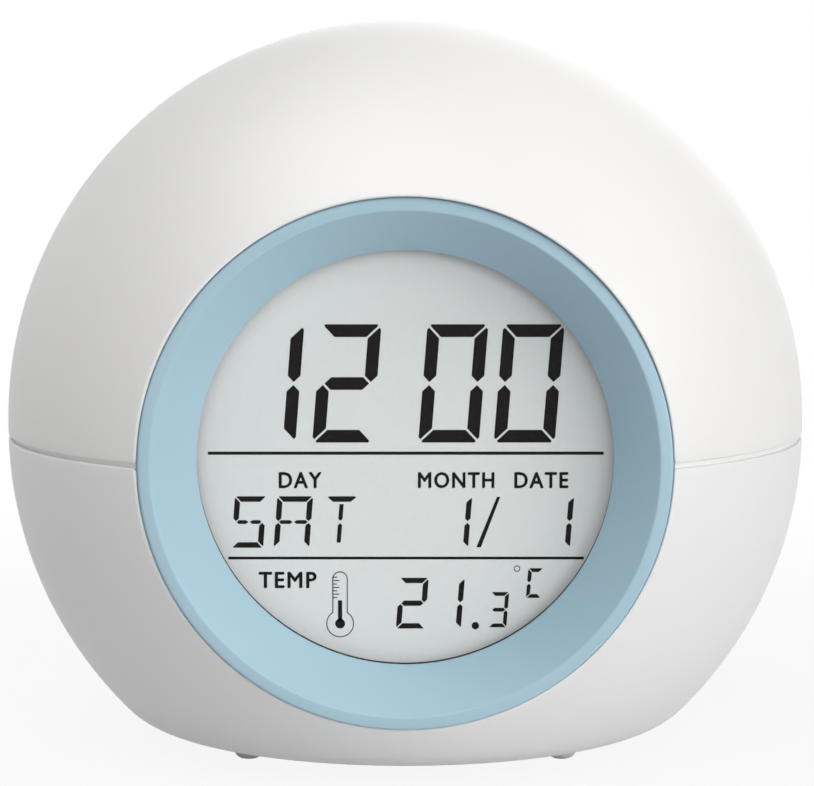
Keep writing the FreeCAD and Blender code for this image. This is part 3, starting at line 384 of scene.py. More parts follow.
# epoxy dripped over a bare chip: a glossy black drop with shallow ripples
epoxyDrop = makeSurface(
    "black_epoxy_dripped",
    {
        "darker": "#0f0f0f",
        "lighter": "#1b1a19",
        "roughness": (0.12, 0.24),
        "patch": 3 * mm,
        "grain": 1.6 * mm,
        "depth": 0.05 * mm,
        "shader": {"IOR": 1.55},
    },
)

# conducting silicone, extruded: dull, with carbon-black bands 0.1 mm apart, drawn coarser
siliconeStrip = makeSurface(
    "conductive_silicone_extruded",
    {
        "darker": "#2f3235",
        "lighter": "#65696d",
        "roughness": (0.6, 0.8),
        "patch": 0.6 * mm,
        "grain": 0.3 * mm,
        "depth": 0.004 * mm,
        "stretch": (1.0, 0.1, 0.1),
        "shader": {"IOR": 1.42},
    },
)

# polyurethane foam, die cut: open cells leave it dull and pitted
cutFoam = makeSurface(
    "polyurethane_foam_cut",
    {
        "darker": "#232427",
        "lighter": "#404146",
        "roughness": (0.85, 1.0),
        "patch": 0.6 * mm,
        "grain": 0.35 * mm,
        "depth": 0.12 * mm,
        "shader": {"IOR": 1.45},
    },
)

# acrylic light guide, moulded, with white dots printed on its back
lightGuide = makeSurface(
    "acrylic_light_guide_moulded",
    {
        "darker": "#e2e8ea",
        "lighter": "#f7f8f8",
        "roughness": (0.12, 0.3),
        "patch": 0.7 * mm,
        "grain": 0.7 * mm,
        "depth": 0.002 * mm,
        "shader": {"IOR": 1.49, "Subsurface Weight": 0.15, "Subsurface Scale": 1.0 * mm},
    },
)

# phosphor in clear silicone, cast: the yellow face of a white lamp that is off
lampPhosphor = makeSurface(
    "phosphor_silicone_cast",
    {
        "darker": "#dfc95c",
        "lighter": "#f0e298",
        "roughness": (0.2, 0.4),
        "patch": 0.8 * mm,
        "grain": 0.3 * mm,
        "depth": 0.003 * mm,
        "shader": {"IOR": 1.41, "Subsurface Weight": 0.2, "Subsurface Scale": 0.5 * mm},
    },
)

# polyester film, thermoformed: thin, dark and a little glossy, with faint waves
speakerFilm = makeSurface(
    "polyester_film_formed",
    {
        "darker": "#27282a",
        "lighter": "#3a3b3e",
        "roughness": (0.22, 0.4),
        "patch": 2.5 * mm,
        "grain": 0.8 * mm,
        "depth": 0.012 * mm,
        "shader": {"IOR": 1.6},
    },
)

# heat-shrunk PVC sleeve: dark blue, drawn tight, glossy along its ridges
shrinkSleeve = makeSurface(
    "dark_blue_pvc_shrunk",
    {
        "darker": "#1a2947",
        "lighter": "#283e64",
        "roughness": (0.22, 0.38),
        "patch": 1.5 * mm,
        "grain": 0.5 * mm,
        "depth": 0.006 * mm,
        "shader": {"IOR": 1.53},
    },
)

# sintered ferrite, ground: charcoal with a dull crystalline sparkle
groundFerrite = makeSurface(
    "ferrite_ground",
    {
        "darker": "#262525",
        "lighter": "#4b4948",
        "roughness": (0.42, 0.7),
        "patch": 0.5 * mm,
        "grain": 0.3 * mm,
        "depth": 0.01 * mm,
        "shader": {"IOR": 1.8},
    },
)

# stranded wire in extruded PVC: softly shiny, waved a little by the strands below
wirePvc = makeSurface(
    "pvc_insulation_extruded",
    {
        "darker": "#9f2624",
        "lighter": "#b93734",
        "roughness": (0.3, 0.44),
        "patch": 6 * mm,
        "grain": 0.9 * mm,
        "depth": 0.012 * mm,
        "shader": {"IOR": 1.53},
    },
)

# nickel-plated spring steel, rolled: warm and bright, with lines along the strip
platedSteel = makeSurface(
    "nickel_plated_steel_rolled",
    {
        "darker": "#b5b1a8",
        "lighter": "#d1cdc4",
        "roughness": (0.2, 0.38),
        "patch": 1.2 * mm,
        "grain": 0.3 * mm,
        "depth": 0.001 * mm,
        "stretch": (1.0, 1.0, 0.1),
        "shader": {"Metallic": 1.0},
    },
)

# zinc-plated steel, tumbled: cooler and greyer, with a faint dimpled skin
zincSteel = makeSurface(
    "zinc_plated_steel_tumbled",
    {
        "darker": "#9fa3a8",
        "lighter": "#bfc3c7",
        "roughness": (0.3, 0.5),
        "patch": 1.5 * mm,
        "grain": 0.4 * mm,
        "depth": 0.004 * mm,
        "shader": {"Metallic": 1.0},
    },
)

# nickel silver, deep drawn: faint upright lines left by the die
drawnCan = makeSurface(
    "nickel_silver_drawn",
    {
        "darker": "#b1b0ab",
        "lighter": "#cbcac5",
        "roughness": (0.18, 0.34),
        "patch": 0.9 * mm,
        "grain": 0.3 * mm,
        "depth": 0.001 * mm,
        "stretch": (1.0, 1.0, 0.12),
        "shader": {"Metallic": 1.0},
    },
)


def makeBoardMaterial():
    # green lacquer over woven glass: the threads stand out as a fine grid
    look = {
        "darker": "#1c5437",
        "lighter": "#2e7650",
        "roughness": (0.26, 0.42),
        "depth": 0.004 * mm,
        "wave": 1.4 * mm,  # a wave repeats after 0.31 of this
    }
    material, tree, shader, place = startMaterial("solder_mask_coated", {"IOR": 1.55})
    waves = []
    for direction in ("X", "Z"):
        settings = {"Scale": 1 / look["wave"], "Distortion": 0.6, "bands_direction": direction}
        waves.append(addNode(tree, "ShaderNodeTexWave", settings, {"Vector": place}))
    weave = addNode(
        tree,
        "ShaderNodeMath",
        {"operation": "MAXIMUM"},
        {0: waves[0].outputs["Fac"], 1: waves[1].outputs["Fac"]},
    )
    dressSurface(tree, shader, weave.outputs[0], weave.outputs[0], look)
    return material


def makeRibbonMaterial():
    # flat cable of fine cores in grey PVC, extruded: a groove between each two cores, with
    # painted shade that darkens each groove and leaves the tops of the cores lighter
    look = {
        "darker": "#85878b",
        "lighter": "#bfc1c4",
        "roughness": (0.38, 0.55),
        "depth": 0.1 * mm,
        "wave": 3.2 * mm,
    }
    material, tree, shader, place = startMaterial("ribbon_pvc_extruded_painted_groove_shade", {"IOR": 1.53})
    settings = {"Scale": 1 / look["wave"], "bands_direction": "X"}
    # one set of bands lifts the cores and also paints shade into the grooves between them: the
    # darker grey is painted shade
    paintedGrooveShade = addNode(tree, "ShaderNodeTexWave", settings, {"Vector": place})
    dressSurface(tree, shader, paintedGrooveShade.outputs["Fac"], paintedGrooveShade.outputs["Fac"], look)
    return material


cell = {
    "steel": "#c9c8c4",
    "jacket": "#2c2f33",
    "band": "#b07a3c",
    "bandLength": 9.0 * mm,
    "endLength": 1.4 * mm,
    "roughness": (0.2, 0.38),
    "scuff": 1.2 * mm,
    "depth": 0.004 * mm,
}


def makeCellMaterial(name, footX, nubX):
    # printed film shrunk on a steel can: bare ends, a copper band by the nub, a graphite jacket
    material, tree, shader, place = startMaterial(name, {})
    split = addNode(tree, "ShaderNodeSeparateXYZ", links={"Vector": place})
    along = addNode(
        tree,
        "ShaderNodeMapRange",
        {"From Min": footX, "From Max": nubX},
        {"Value": split.outputs["X"]},
    )
    length = abs(nubX - footX)
    stops = [
        (0.0, cell["steel"], 1.0),
        (cell["endLength"] / length, cell["jacket"], 0.0),
        (1 - (cell["bandLength"] + cell["endLength"]) / length, cell["band"], 0.7),
        (1 - cell["endLength"] / length, cell["steel"], 1.0),
    ]
    for socket in ("Base Color", "Metallic"):
        bands = addNode(tree, "ShaderNodeValToRGB", links={"Fac": along.outputs["Result"]})
        bands.color_ramp.interpolation = "CONSTANT"
        for i, (start, colour, metal) in enumerate(stops):
            elements = bands.color_ramp.elements
            stop = elements[i] if i < len(elements) else elements.new(start)
            stop.position = start
            tone = (metal, metal, metal, 1)
            stop.color = toLinear(colour) if socket == "Base Color" else tone
        tree.links.new(bands.outputs["Color"], shader.inputs[socket])
    fine = {"Scale": 1 / cell["scuff"], "Detail": 4.0}
    scuff = addNode(tree, "ShaderNodeTexNoise", fine, {"Vector": place})
    addRelief(tree, shader, scuff.outputs["Fac"], cell)
    return material


print("materials ready")


def onBall(place, middle, radius, seamZ, upper):
    # place.x runs from the front opening to the rear one, place.y from seam to seam
    front = math.asin(ball["frontOpening"] / radius)
    back = math.asin(ball["rearOpening"] / radius)
    angle = front + (math.pi - front - back) * place.x
    width = radius * math.sin(angle)
    endAngle = front if angle < math.pi / 2 else back
    lift = (axisZ - middle.z) * (math.cos(angle) / math.cos(endAngle)) ** 2
    start = math.asin((seamZ - middle.z - lift) / width)
    if upper:
        turn = start + (math.pi - 2 * start) * place.y
    else:
        turn = start - (math.pi + 2 * start) * place.y
    x = width * math.cos(turn)
    z = lift + width * math.sin(turn)
    y = math.sqrt(max(0.0, radius**2 - x**2 - z**2))
    return middle + Vector((x, -math.copysign(y, math.cos(angle)), z))


def onBase(point, middle, radius, inset, rounding):
    # draws a point of the lower half in, towards the middle, to the flat base or its rounding
    offset = point - middle
    polar = math.atan2(math.hypot(offset.x, offset.y), -offset.z)
    floorDrop = middle.z - baseZ - inset
    centreDrop = floorDrop - rounding
    reach = radius - rounding
    centreWide = math.sqrt(reach**2 - centreDrop**2)
    length = radius
    if polar < math.atan2(centreWide, floorDrop):
        length = floorDrop / math.cos(polar)
    elif polar < math.atan2(centreWide, centreDrop):
        along = math.sin(polar) * centreWide + math.cos(polar) * centreDrop
        length = along + math.sqrt(along**2 - reach**2 + rounding**2)
    return middle + offset.normalized() * length


def roundEdges(bm, edges, radius, segments):
    bmesh.ops.bevel(
        bm,
        geom=edges,
        affect="EDGES",
        offset=radius,
        segments=segments,
        profile=0.5,
        material=-1,
        clamp_overlap=True,
    )


def isOuterSeam(edge, middle, seamZ):
    if len(edge.link_faces) < 2:
        return False
    if any(abs(v.co.z - seamZ) > near["length"] for v in edge.verts):
        return False
    flat = [abs(f.normal.z) > near["level"] for f in edge.link_faces]
    outer = ball["radius"] - ball["openingRound"]
    outside = all((v.co - middle).length > outer for v in edge.verts)
    return outside and flat[0] != flat[1]


def makeHalf(middle, seamZ, upper):
    bm = bmesh.new()
    bmesh.ops.create_grid(bm, x_segments=ball["rows"], y_segments=ball["columns"], size=1)
    placeLayer = bm.verts.layers.float_vector.new("place")
    for vert in bm.verts:
        vert[placeLayer] = (vert.co + Vector((1, 1, 0))) / 2
    grown = bmesh.ops.extrude_face_region(bm, geom=bm.faces[:], use_keep_orig=True)
    inner = {v for v in grown["geom"] if isinstance(v, bmesh.types.BMVert)}
    innerRadius = ball["radius"] - ball["wall"]
    for vert in bm.verts:
        place = vert[placeLayer]
        radius = innerRadius if vert in inner else ball["radius"]
        point = onBall(place, middle, radius, seamZ, upper)
        if not upper:
            inset = ball["wall"] if vert in inner else 0
            rounding = ball["baseRound"] - inset
            point = onBase(point, middle, radius, inset, rounding)
        vert.co = point

    def atEnd(vert, i):
        return min(vert[placeLayer][i], 1 - vert[placeLayer][i]) < near["place"]

    def sameEnd(edge, i):
        a, b = edge.verts
        return atEnd(a, i) and abs(a[placeLayer][i] - b[placeLayer][i]) < near["place"]

    bmesh.ops.recalc_face_normals(bm, faces=bm.faces[:])
    openingEdges = []
    for edge in bm.edges:
        sides = [v in inner for v in edge.verts]
        if not any(sides) and sameEnd(edge, 0):
            openingEdges.append(edge)
        elif sides[0] != sides[1] and all(atEnd(edge.verts[0], i) for i in (0, 1)):
            openingEdges.append(edge)
    roundEdges(bm, openingEdges, ball["openingRound"], ball["openingSteps"])
    seamEdges = [e for e in bm.edges if isOuterSeam(e, middle, seamZ)]
    roundEdges(bm, seamEdges, ball["seamRound"], ball["seamSteps"])
    return bm


domeMesh = makeHalf(domeMiddle, seamHigh, True)
finishPiece("dome_top", domeMesh, "case", domePlastic, ["upper_shell"])
bowlMesh = makeHalf(bowlMiddle, seamLow, False)
bowlBottom = finishPiece(
    "bowl_bottom", bowlMesh, "case", casePlastic, ["lower_shell"]
)
print("half balls made")

bay = {
    "gap": 0.2 * mm,
    "corner": 3.2 * mm,
    "cornerSteps": 10,
    "cutBelow": 1.0 * mm,
    "pinLength": 1.0 * mm,
    "rebateDepth": 1.4 * mm,
    "mouthLength": 45.5 * mm,
    "mouthWidth": 22.0 * mm,
    "roomLength": 49.3 * mm,
    "roomHeight": 11.1 * mm,
    "wall": 1.4 * mm,
    "roomRound": 0.8 * mm,
    "roundSteps": 4,
    "pocketDepth": 0.4 * mm,
}
pad = {
    "radius": 1.7 * mm,
    "footRadius": 1.55 * mm,
    "round": 0.9 * mm,
    "outward": 1.25 * mm,
    "clearance": 0.1 * mm,
    "steps": 64,
    "pocketSteps": 48,
}
footNodes = ["foot_%d" % i for i in (1, 2, 3, 4)]


def padMiddle(node):
    low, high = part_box(node)
    middle = (low + high) / 2
    outward = Vector((middle.x, middle.y - midY, 0)).normalized()
    return middle + outward * pad["outward"]


def addBox(bm, low, high, roundedBeyond=None, rounding=0):
    made = bmesh.ops.create_cube(bm, size=1)["verts"]
    bmesh.ops.scale(bm, vec=high - low, verts=made)
    bmesh.ops.translate(bm, vec=(low + high) / 2, verts=made)
    if roundedBeyond is not None:
        upright = []
        for edge in {e for v in made for e in v.link_edges}:
            a, b = [v.co for v in edge.verts]
            if abs(a.z - b.z) > near["length"] and a.x > roundedBeyond:
                upright.append(edge)
        bmesh.ops.bevel(
            bm,
            geom=upright,
            affect="EDGES",
            offset=rounding,
            segments=bay["cornerSteps"],
            profile=0.5,
            material=-1,
        )


def addRod(bm, centre, radius, z0, z1, steps):
    made = bmesh.ops.create_cone(
        bm, cap_ends=True, segments=steps, radius1=radius, radius2=radius, depth=z1 - z0
    )["verts"]
    bmesh.ops.translate(bm, vec=Vector((centre.x, centre.y, (z0 + z1) / 2)), verts=made)


def combine(piece, bm, operation):
    bmesh.ops.recalc_face_normals(bm, faces=bm.faces[:])
    other = meshObject("other", bm)
    modifier = piece.modifiers.new("combine", "BOOLEAN")
    modifier.object = other
    modifier.operation = operation
    modifier.solver = "EXACT"
    scene = bpy.context.evaluated_depsgraph_get()
    baked = bpy.data.meshes.new_from_object(piece.evaluated_get(scene))
    piece.modifiers.clear()
    piece.data = baked
    bpy.data.objects.remove(other)


def openBase():
    # a rebate for the door's plate, then the mouth of the bay and a pocket for each foot
    below = baseZ - bay["cutBelow"]
    half = (doorHigh.y - doorLow.y) / 2 - bay["pinLength"] + bay["gap"]
    bm = bmesh.new()
    addBox(
        bm,
        Vector((doorLow.x - bay["gap"], midY - half, below)),
        Vector((doorHigh.x + bay["gap"], midY + half, baseZ + bay["rebateDepth"])),
        0,
        bay["corner"],
    )
    combine(bowlBottom, bm, "DIFFERENCE")
    bm = bmesh.new()
    reach = Vector((bay["mouthLength"] / 2, bay["mouthWidth"] / 2, 0))
    low = Vector((0, midY, below)) - reach
    high = Vector((0, midY, baseZ + 2 * ball["wall"])) + reach
    addBox(bm, low, high)
    radius = pad["radius"] + pad["clearance"]
    pocketZ = baseZ + bay["pocketDepth"]
    for node in footNodes:
        addRod(bm, padMiddle(node), radius, below, pocketZ, pad["pocketSteps"])
    combine(bowlBottom, bm, "DIFFERENCE")


def makeBay():
    # a room without a floor, open to the mouth below it
    floorZ = baseZ + ball["wall"]
    bm = bmesh.new()
    reach = Vector((bay["roomLength"] / 2, bay["mouthWidth"] / 2, 0))
    low = Vector((0, midY, floorZ)) - reach
    high = Vector((0, midY, floorZ + bay["roomHeight"])) + reach
    addBox(bm, low, high)
    level = floorZ + near["length"]
    bottom = [f for f in bm.faces if all(v.co.z < level for v in f.verts)]
    bmesh.ops.delete(bm, geom=bottom, context="FACES")
    corners = [e for e in bm.edges if len(e.link_faces) == 2]
    roundEdges(bm, corners, bay["roomRound"], bay["roundSteps"])
    bmesh.ops.recalc_face_normals(bm, faces=bm.faces[:])
    bmesh.ops.solidify(bm, geom=bm.faces[:], thickness=-bay["wall"])
    return bm


openBase()
finishPiece("battery_bay", makeBay(), "case", casePlastic)


def makeLip():
    # the ring that stands in the reveal between the halves, cut where the two openings pass
    bm = bmesh.new()
    outer = ball["lipRadius"]
    inner = outer - ball["lipWall"]
    low = seamLow - ball["lipReach"]
    high = seamHigh + ball["lipReach"]
    front = math.asin((ball["frontOpening"] + ball["lipClearance"]) / outer)
    back = math.asin((ball["rearOpening"] + ball["lipClearance"]) / outer)
    start = front - math.pi / 2
    for mirror in (1, -1):
        turned = Matrix.Rotation(start, 4, "Z")
        corners = [(inner, low), (outer, low), (outer, high), (inner, high)]
        points = [turned @ Vector((r, 0, z)) for r, z in corners]
        points = [Vector((mirror * p.x, midY + p.y, p.z)) for p in points]
        verts, edges = addOutline(bm, points)
        bmesh.ops.spin(
            bm,
            geom=verts + edges,
            cent=(0, midY, 0),
            axis=(0, 0, mirror),
            angle=math.pi - front - back,
            steps=ball["lipSteps"],
        )
    ends = [e for e in bm.edges if len(e.link_faces) == 1]
    bmesh.ops.holes_fill(bm, edges=ends, sides=4)
    return bm


finishPiece("seam_lip", makeLip(), "case", casePlastic)
print("base, bay and lip made")

ring = {
    "radius": 27.31 * mm,
    "rise": 0.2 * mm,
    "rimWidth": 1.32 * mm,
    "rimLean": 0.12 * mm,
    "ledgeRadius": 27.38 * mm,
    "ledgeDepth": 0.65 * mm,
    "coneWidth": 4.25 * mm,
    "coneDepth": 6.5 * mm,
    "land": 0.5 * mm,
    "seat": 23.05 * mm,
    "flangeRadius": 29.2 * mm,
    "flangeFront": 5.32 * mm,
    "flangeThickness": 1.2 * mm,
    "rimRound": 0.25 * mm,
    "coneRound": 0.16 * mm,
    "windowRound": 0.12 * mm,
    "steps": 240,
}


def makeRing():
    window = ring["radius"] - ring["rimWidth"] - ring["coneWidth"]
    frontY = rimY - ring["rise"]
    coneY = frontY + ring["coneDepth"]
    flangeY = rimY + ring["flangeFront"]
    backY = flangeY + ring["flangeThickness"]
    outline = [
        (ring["radius"], frontY + ring["rimLean"]),
        (ring["radius"], frontY + ring["ledgeDepth"]),
        (ring["ledgeRadius"], frontY + ring["ledgeDepth"]),
        (ring["ledgeRadius"], flangeY),
        (ring["flangeRadius"], flangeY),
        (ring["flangeRadius"], backY),
        (ring["radius"], backY),
        (ring["radius"], glassY),
        (ring["seat"], glassY),
        (ring["seat"], coneY + ring["land"]),
        (window, coneY + ring["land"]),
        (window, coneY),
        (ring["radius"] - ring["rimWidth"], frontY),
    ]
    points = [Vector((r, y, axisZ)) for r, y in outline]
    bm = bmesh.new()
    # by their place in the outline: the outer rim, then the narrow and the wide end of the cone
    rounds = [(0, ring["rimRound"]), (11, ring["windowRound"]), (12, ring["coneRound"])]
    spinOutline(bm, points, (0, 0, axisZ), (0, 1, 0), ring["steps"], rounds)
    return bm


finishPiece(
    "bezel_cone", makeRing(), "case", bezelPlastic, ["bezel_ring"], sharpAbove=25
)
print("bezel made")

display = {
    "slant": math.tan(math.radians(4.5)),
    "thickness": 0.02 * mm,
    "mitreGap": 0.7,
    "nib": 0.3,
    "discSides": 40,
}


def shownOn(x, z):
    return Vector((x * mm, glassY - display["thickness"], axisZ + z * mm))


def segmentShapes(width, height, bar, gap, split=False):
    # seven bars of a digit as (right, up) outlines with mitred ends;
    # split gives two half bars in the middle instead of one
    cut = gap * display["mitreGap"]
    half = bar / 2
    midUp = height / 2
    nib = bar * display["nib"]  # outer corner taken off
    shapes = {
        "a": [
            (nib, height),
            (width - nib, height),
            (width - nib / 2 - cut, height - nib / 2),
            (width - bar - cut, height - bar),
            (bar + cut, height - bar),
            (nib / 2 + cut, height - nib / 2),
        ],
        "f": [
            (0, height - nib - cut),
            (nib / 2, height - nib / 2 - cut),
            (bar, height - bar - cut),
            (bar, midUp + half + cut),
            (half, midUp + cut),
            (0, midUp + half + cut),
        ],
        "g": [
            (half + cut, midUp),
            (bar + cut, midUp + half),
            (width - bar - cut, midUp + half),
            (width - half - cut, midUp),
            (width - bar - cut, midUp - half),
            (bar + cut, midUp - half),
        ],
    }
    if split:
        stop = width / 2 - gap / 2
        shapes["g"] = [
            (half + cut, midUp),
            (bar, midUp + half - cut),
            (stop - half, midUp + half - cut),
            (stop, midUp),
            (stop - half, midUp - half + cut),
            (bar, midUp - half + cut),
        ]
        shapes["h"] = [(width - u, v) for u, v in shapes["g"]]
    shapes["b"] = [(width - u, v) for u, v in shapes["f"]]
    shapes["e"] = [(u, height - v) for u, v in shapes["f"]]
    shapes["c"] = [(width - u, height - v) for u, v in shapes["f"]]
    shapes["d"] = [(u, height - v) for u, v in shapes["a"]]
    return shapes


def thicken(bm, faces):
    # the back of the print lies on the glass
    grown = bmesh.ops.extrude_face_region(bm, geom=faces, use_keep_orig=True)
    moved = [v for v in grown["geom"] if isinstance(v, bmesh.types.BMVert)]
    bmesh.ops.translate(bm, vec=(0, display["thickness"], 0), verts=moved)


def addPlate(bm, outline):
    thicken(bm, [bm.faces.new([bm.verts.new(p) for p in outline])])


def addBars(bm, left, low, outlines):
    for outline in outlines:
        slanted = [(left + u + v * display["slant"], low + v) for u, v in outline]
        addPlate(bm, [shownOn(x, z) for x, z in slanted])


litBars = {
    "0": "abcdef",
    "1": "bc",
    "2": "abged",
    "3": "abgcd",
    "C": "afed",
    "S": "afghcd",
    "A": "abcefgh",
}


def addSign(bm, sign, left, low, width, height, bar, gap, split=False):
    shapes = segmentShapes(width, height, bar, gap, split)
    addBars(bm, left, low, [shapes[name] for name in litBars[sign]])


# (sign, left end of its foot, foot, width, height) in mm about the middle of the display
timeSigns = {
    "bar": 1.33,
    "gap": 0.22,
    "signs": [
        ("1", -17.8, 1.53, 6.3, 12.4),
        ("2", -9.75, 1.53, 6.3, 12.4),
        ("0", 1.35, 1.53, 6.35, 12.4),
        ("0", 9.25, 1.53, 6.4, 12.4),
    ],
}
dateSigns = {
    "bar": 0.56,
    "gap": 0.13,
    "signs": [("1", 3.3, -9.6, 3.3, 5.45), ("1", 14.0, -9.6, 3.3, 5.45)],
}
daySigns = {
    "bar": 0.58,
    "gap": 0.13,
    "signs": [("S", -18.3, -9.6, 3.35, 5.45), ("A", -13.85, -9.6, 3.75, 5.45)],
}
warmthSigns = {
    "bar": 0.56,
    "gap": 0.13,
    "signs": [("2", -1.0, -18.2, 3.05, 5.4), ("1", 2.75, -18.2, 3.1, 5.4)],
}
smallSigns = {
    "bar": 0.4,
    "gap": 0.1,
    "signs": [("3", 8.75, -18.07, 1.9, 3.75), ("C", 12.7, -14.93, 1.6, 3.15)],
}


def makeSigns():
    bm = bmesh.new()
    for group in (timeSigns, dateSigns, warmthSigns, smallSigns):
        for sign, left, low, width, height in group["signs"]:
            addSign(bm, sign, left, low, width, height, group["bar"], group["gap"])
    for sign, left, low, width, height in daySigns["signs"]:
        addSign(bm, sign, left, low, width, height, daySigns["bar"], daySigns["gap"], True)
    return bm


letterT = {
    "left": -8.55,
    "low": -9.6,
    "width": 3.0,
    "height": 5.45,
    "bar": 0.58,
    "post": 0.44,
    "cornerWide": 0.2,
    "cornerHigh": 0.1,
    "gap": 0.25,
    "shoulder": 0.35,
    "nose": 0.12,
    "foot": 0.55,
}


def addLetterT(bm):
    # a bar on top of two posts, each pointed where they meet
    t = letterT
    width, height, bar = t["width"], t["height"], t["bar"]
    half = t["post"] / 2
    middle = width / 2
    under = height - bar
    outlines = [
        [
            (0, height - t["cornerHigh"]),
            (t["cornerWide"], height),
            (width - t["cornerWide"], height),
            (width, height - t["cornerHigh"]),
            (width - bar, under),
            (bar, under),
        ]
    ]
    for end, way in ((under - t["gap"], 1), (t["foot"], -1)):
        shoulder = height / 2 + way * t["shoulder"]
        nose = height / 2 + way * t["nose"]
        post = [(-half, end), (half, end), (half, shoulder), (0, nose), (-half, shoulder)]
        outlines.append([(middle + u, v) for u, v in post])
    addBars(bm, t["left"], t["low"], outlines)


# in mm: rules as (left, right, foot, top), the slash, the point and the degree ring
rules = {
    "upper": (-20.69, 20.79, 0.24, 0.57),
    "lower": (-18.62, 18.77, -10.84, -10.55),
    "slash": [(7.47, -9.56), (7.95, -9.56), (9.97, -4.21), (9.62, -4.21)],
    "point": (7.39, -17.9, 0.39),
    "degree": (11.76, -11.82, 0.34, 0.09),
}


def addDisc(bm, x, z, radius, hole=0.0):
    made = bmesh.ops.create_circle(
        bm, cap_ends=True, segments=display["discSides"], radius=radius * mm
    )["verts"]
    upright = Matrix.Rotation(math.pi / 2, 3, "X")
    bmesh.ops.rotate(bm, verts=made, cent=(0, 0, 0), matrix=upright)
    bmesh.ops.translate(bm, verts=made, vec=shownOn(x, z))
    face = made[0].link_faces[0]
    if hole:
        bmesh.ops.inset_individual(bm, faces=[face], thickness=(radius - hole) * mm)
        bmesh.ops.delete(bm, geom=[face], context="FACES")
        faces = list({f for v in made for f in v.link_faces})
    else:
        faces = [face]
    thicken(bm, faces)


def addStroke(bm, x0, x1, z0, z1):
    addPlate(bm, [shownOn(x, z) for x, z in ((x0, z0), (x1, z0), (x1, z1), (x0, z1))])


def addRules(bm):
    addStroke(bm, *rules["upper"])
    addStroke(bm, *rules["lower"])
    addPlate(bm, [shownOn(x, z) for x, z in rules["slash"]])
    addDisc(bm, *rules["point"])
    x, z, radius, line = rules["degree"]
    addDisc(bm, x, z, radius, radius - line)


thermometer = {
    "x": -6.87,
    "tubeHalf": 0.81,
    "top": -12.11,
    "bulbZ": -17.68,
    "bulb": 1.46,
    "line": 0.1,
    "column": 0.22,
    "columnTop": -15.2,
    "innerBulb": 0.52,
    "ticks": 7,
    "tickLow": -14.9,
    "tickPitch": 0.36,
    "tickLong": 0.72,
    "tickShort": 0.5,
    "steps": 16,
}


def thermometerOutline(drawnIn):
    t = thermometer
    half = t["tubeHalf"] - drawnIn
    bulb = t["bulb"] - drawnIn
    steps = t["steps"]
    outline = []
    top = t["top"] - t["tubeHalf"]
    for i in range(steps + 1):  # round top
        angle = math.pi * i / steps
        outline.append((half * math.cos(angle), top + half * math.sin(angle)))
    neck = math.asin(half / bulb)
    for i in range(3 * steps + 1):  # bulb, open at the neck
        angle = math.pi / 2 + neck + (2 * math.pi - 2 * neck) * i / (3 * steps)
        outline.append((bulb * math.cos(angle), t["bulbZ"] + bulb * math.sin(angle)))
    return [shownOn(t["x"] + u, v) for u, v in outline]


def addThermometer(bm):
    t = thermometer
    outer = addOutline(bm, thermometerOutline(0))[1]
    inner = addOutline(bm, thermometerOutline(t["line"]))[1]
    thicken(bm, bmesh.ops.bridge_loops(bm, edges=outer + inner)["faces"])
    addDisc(bm, t["x"], t["bulbZ"], t["innerBulb"])
    foot = t["bulbZ"] + t["innerBulb"] / 2
    addStroke(bm, t["x"] - t["column"], t["x"] + t["column"], foot, t["columnTop"])
    left = t["x"] - t["tubeHalf"]
    line = t["line"] / 2
    for i in range(t["ticks"]):
        z = t["tickLow"] + i * t["tickPitch"]
        length = t["tickLong"] if i % 2 else t["tickShort"]
        addStroke(bm, left, left + length, z - line, z + line)


signsMesh = makeSigns()
addLetterT(signsMesh)
addRules(signsMesh)
addThermometer(signsMesh)
finishPiece("display_signs", signsMesh, "case", lcdSegment)

# shifts in mm: printed letters are heavier than the typeface at hand
lettering = {
    "space": 1.16,
    "resolution": 3,
    "extrude": 0.01,
    "shifts": [(0.06, 0.0), (-0.06, 0.0), (0.03, 0.05), (-0.03, -0.05)],
}
# captions: (words, left, right, foot, top) in mm about the middle of the display
captions = [
    ("DAY", -13.22, -8.83, -3.25, -1.63),
    ("MONTH", 1.38, 9.29, -3.25, -1.63),
    ("DATE", 11.49, 17.05, -3.25, -1.63),
    ("TEMP", -15.38, -9.39, -13.85, -12.21),
]


def makeCaption(words, left, right, foot, top):
    text = bpy.data.curves.new("caption_" + words.lower(), "FONT")
    text.body = words
    text.extrude = lettering["extrude"]
    text.space_character = lettering["space"]
    text.resolution_u = lettering["resolution"]
    source = addToScene("caption_source", text)
    scene = bpy.context.evaluated_depsgraph_get()
    mesh = bpy.data.meshes.new_from_object(source.evaluated_get(scene))
    bpy.data.objects.remove(source)
    xs = [v.co.x for v in mesh.vertices]
    ys = [v.co.y for v in mesh.vertices]
    for vert in mesh.vertices:
        along = (vert.co.x - min(xs)) / (max(xs) - min(xs))
        up = (vert.co.y - min(ys)) / (max(ys) - min(ys))
        depth = display["thickness"] * (1 - vert.co.z / lettering["extrude"]) / 2
        vert.co = shownOn(left + (right - left) * along, foot + (top - foot) * up)
        vert.co.y += depth
    bm = bmesh.new()
    bm.from_mesh(mesh)
    bmesh.ops.remove_doubles(bm, verts=bm.verts[:], dist=near["length"])
    bmesh.ops.recalc_face_normals(bm, faces=bm.faces[:])
    bm.to_mesh(mesh)
    bm.free()
    piece = finishPiece("caption_" + words.lower(), bmesh.new(), "case", lcdSegment)
    piece.data = mesh
    mesh.materials.clear()
    mesh.materials.append(lcdSegment)
    for x, z in lettering["shifts"]:
        bm = bmesh.new()
        bm.from_mesh(mesh)
        bmesh.ops.translate(bm, verts=bm.verts[:], vec=(x * mm, 0, z * mm))
        combine(piece, bm, "UNION")
    return piece


for caption in captions:
    makeCaption(*caption)
print("display made")


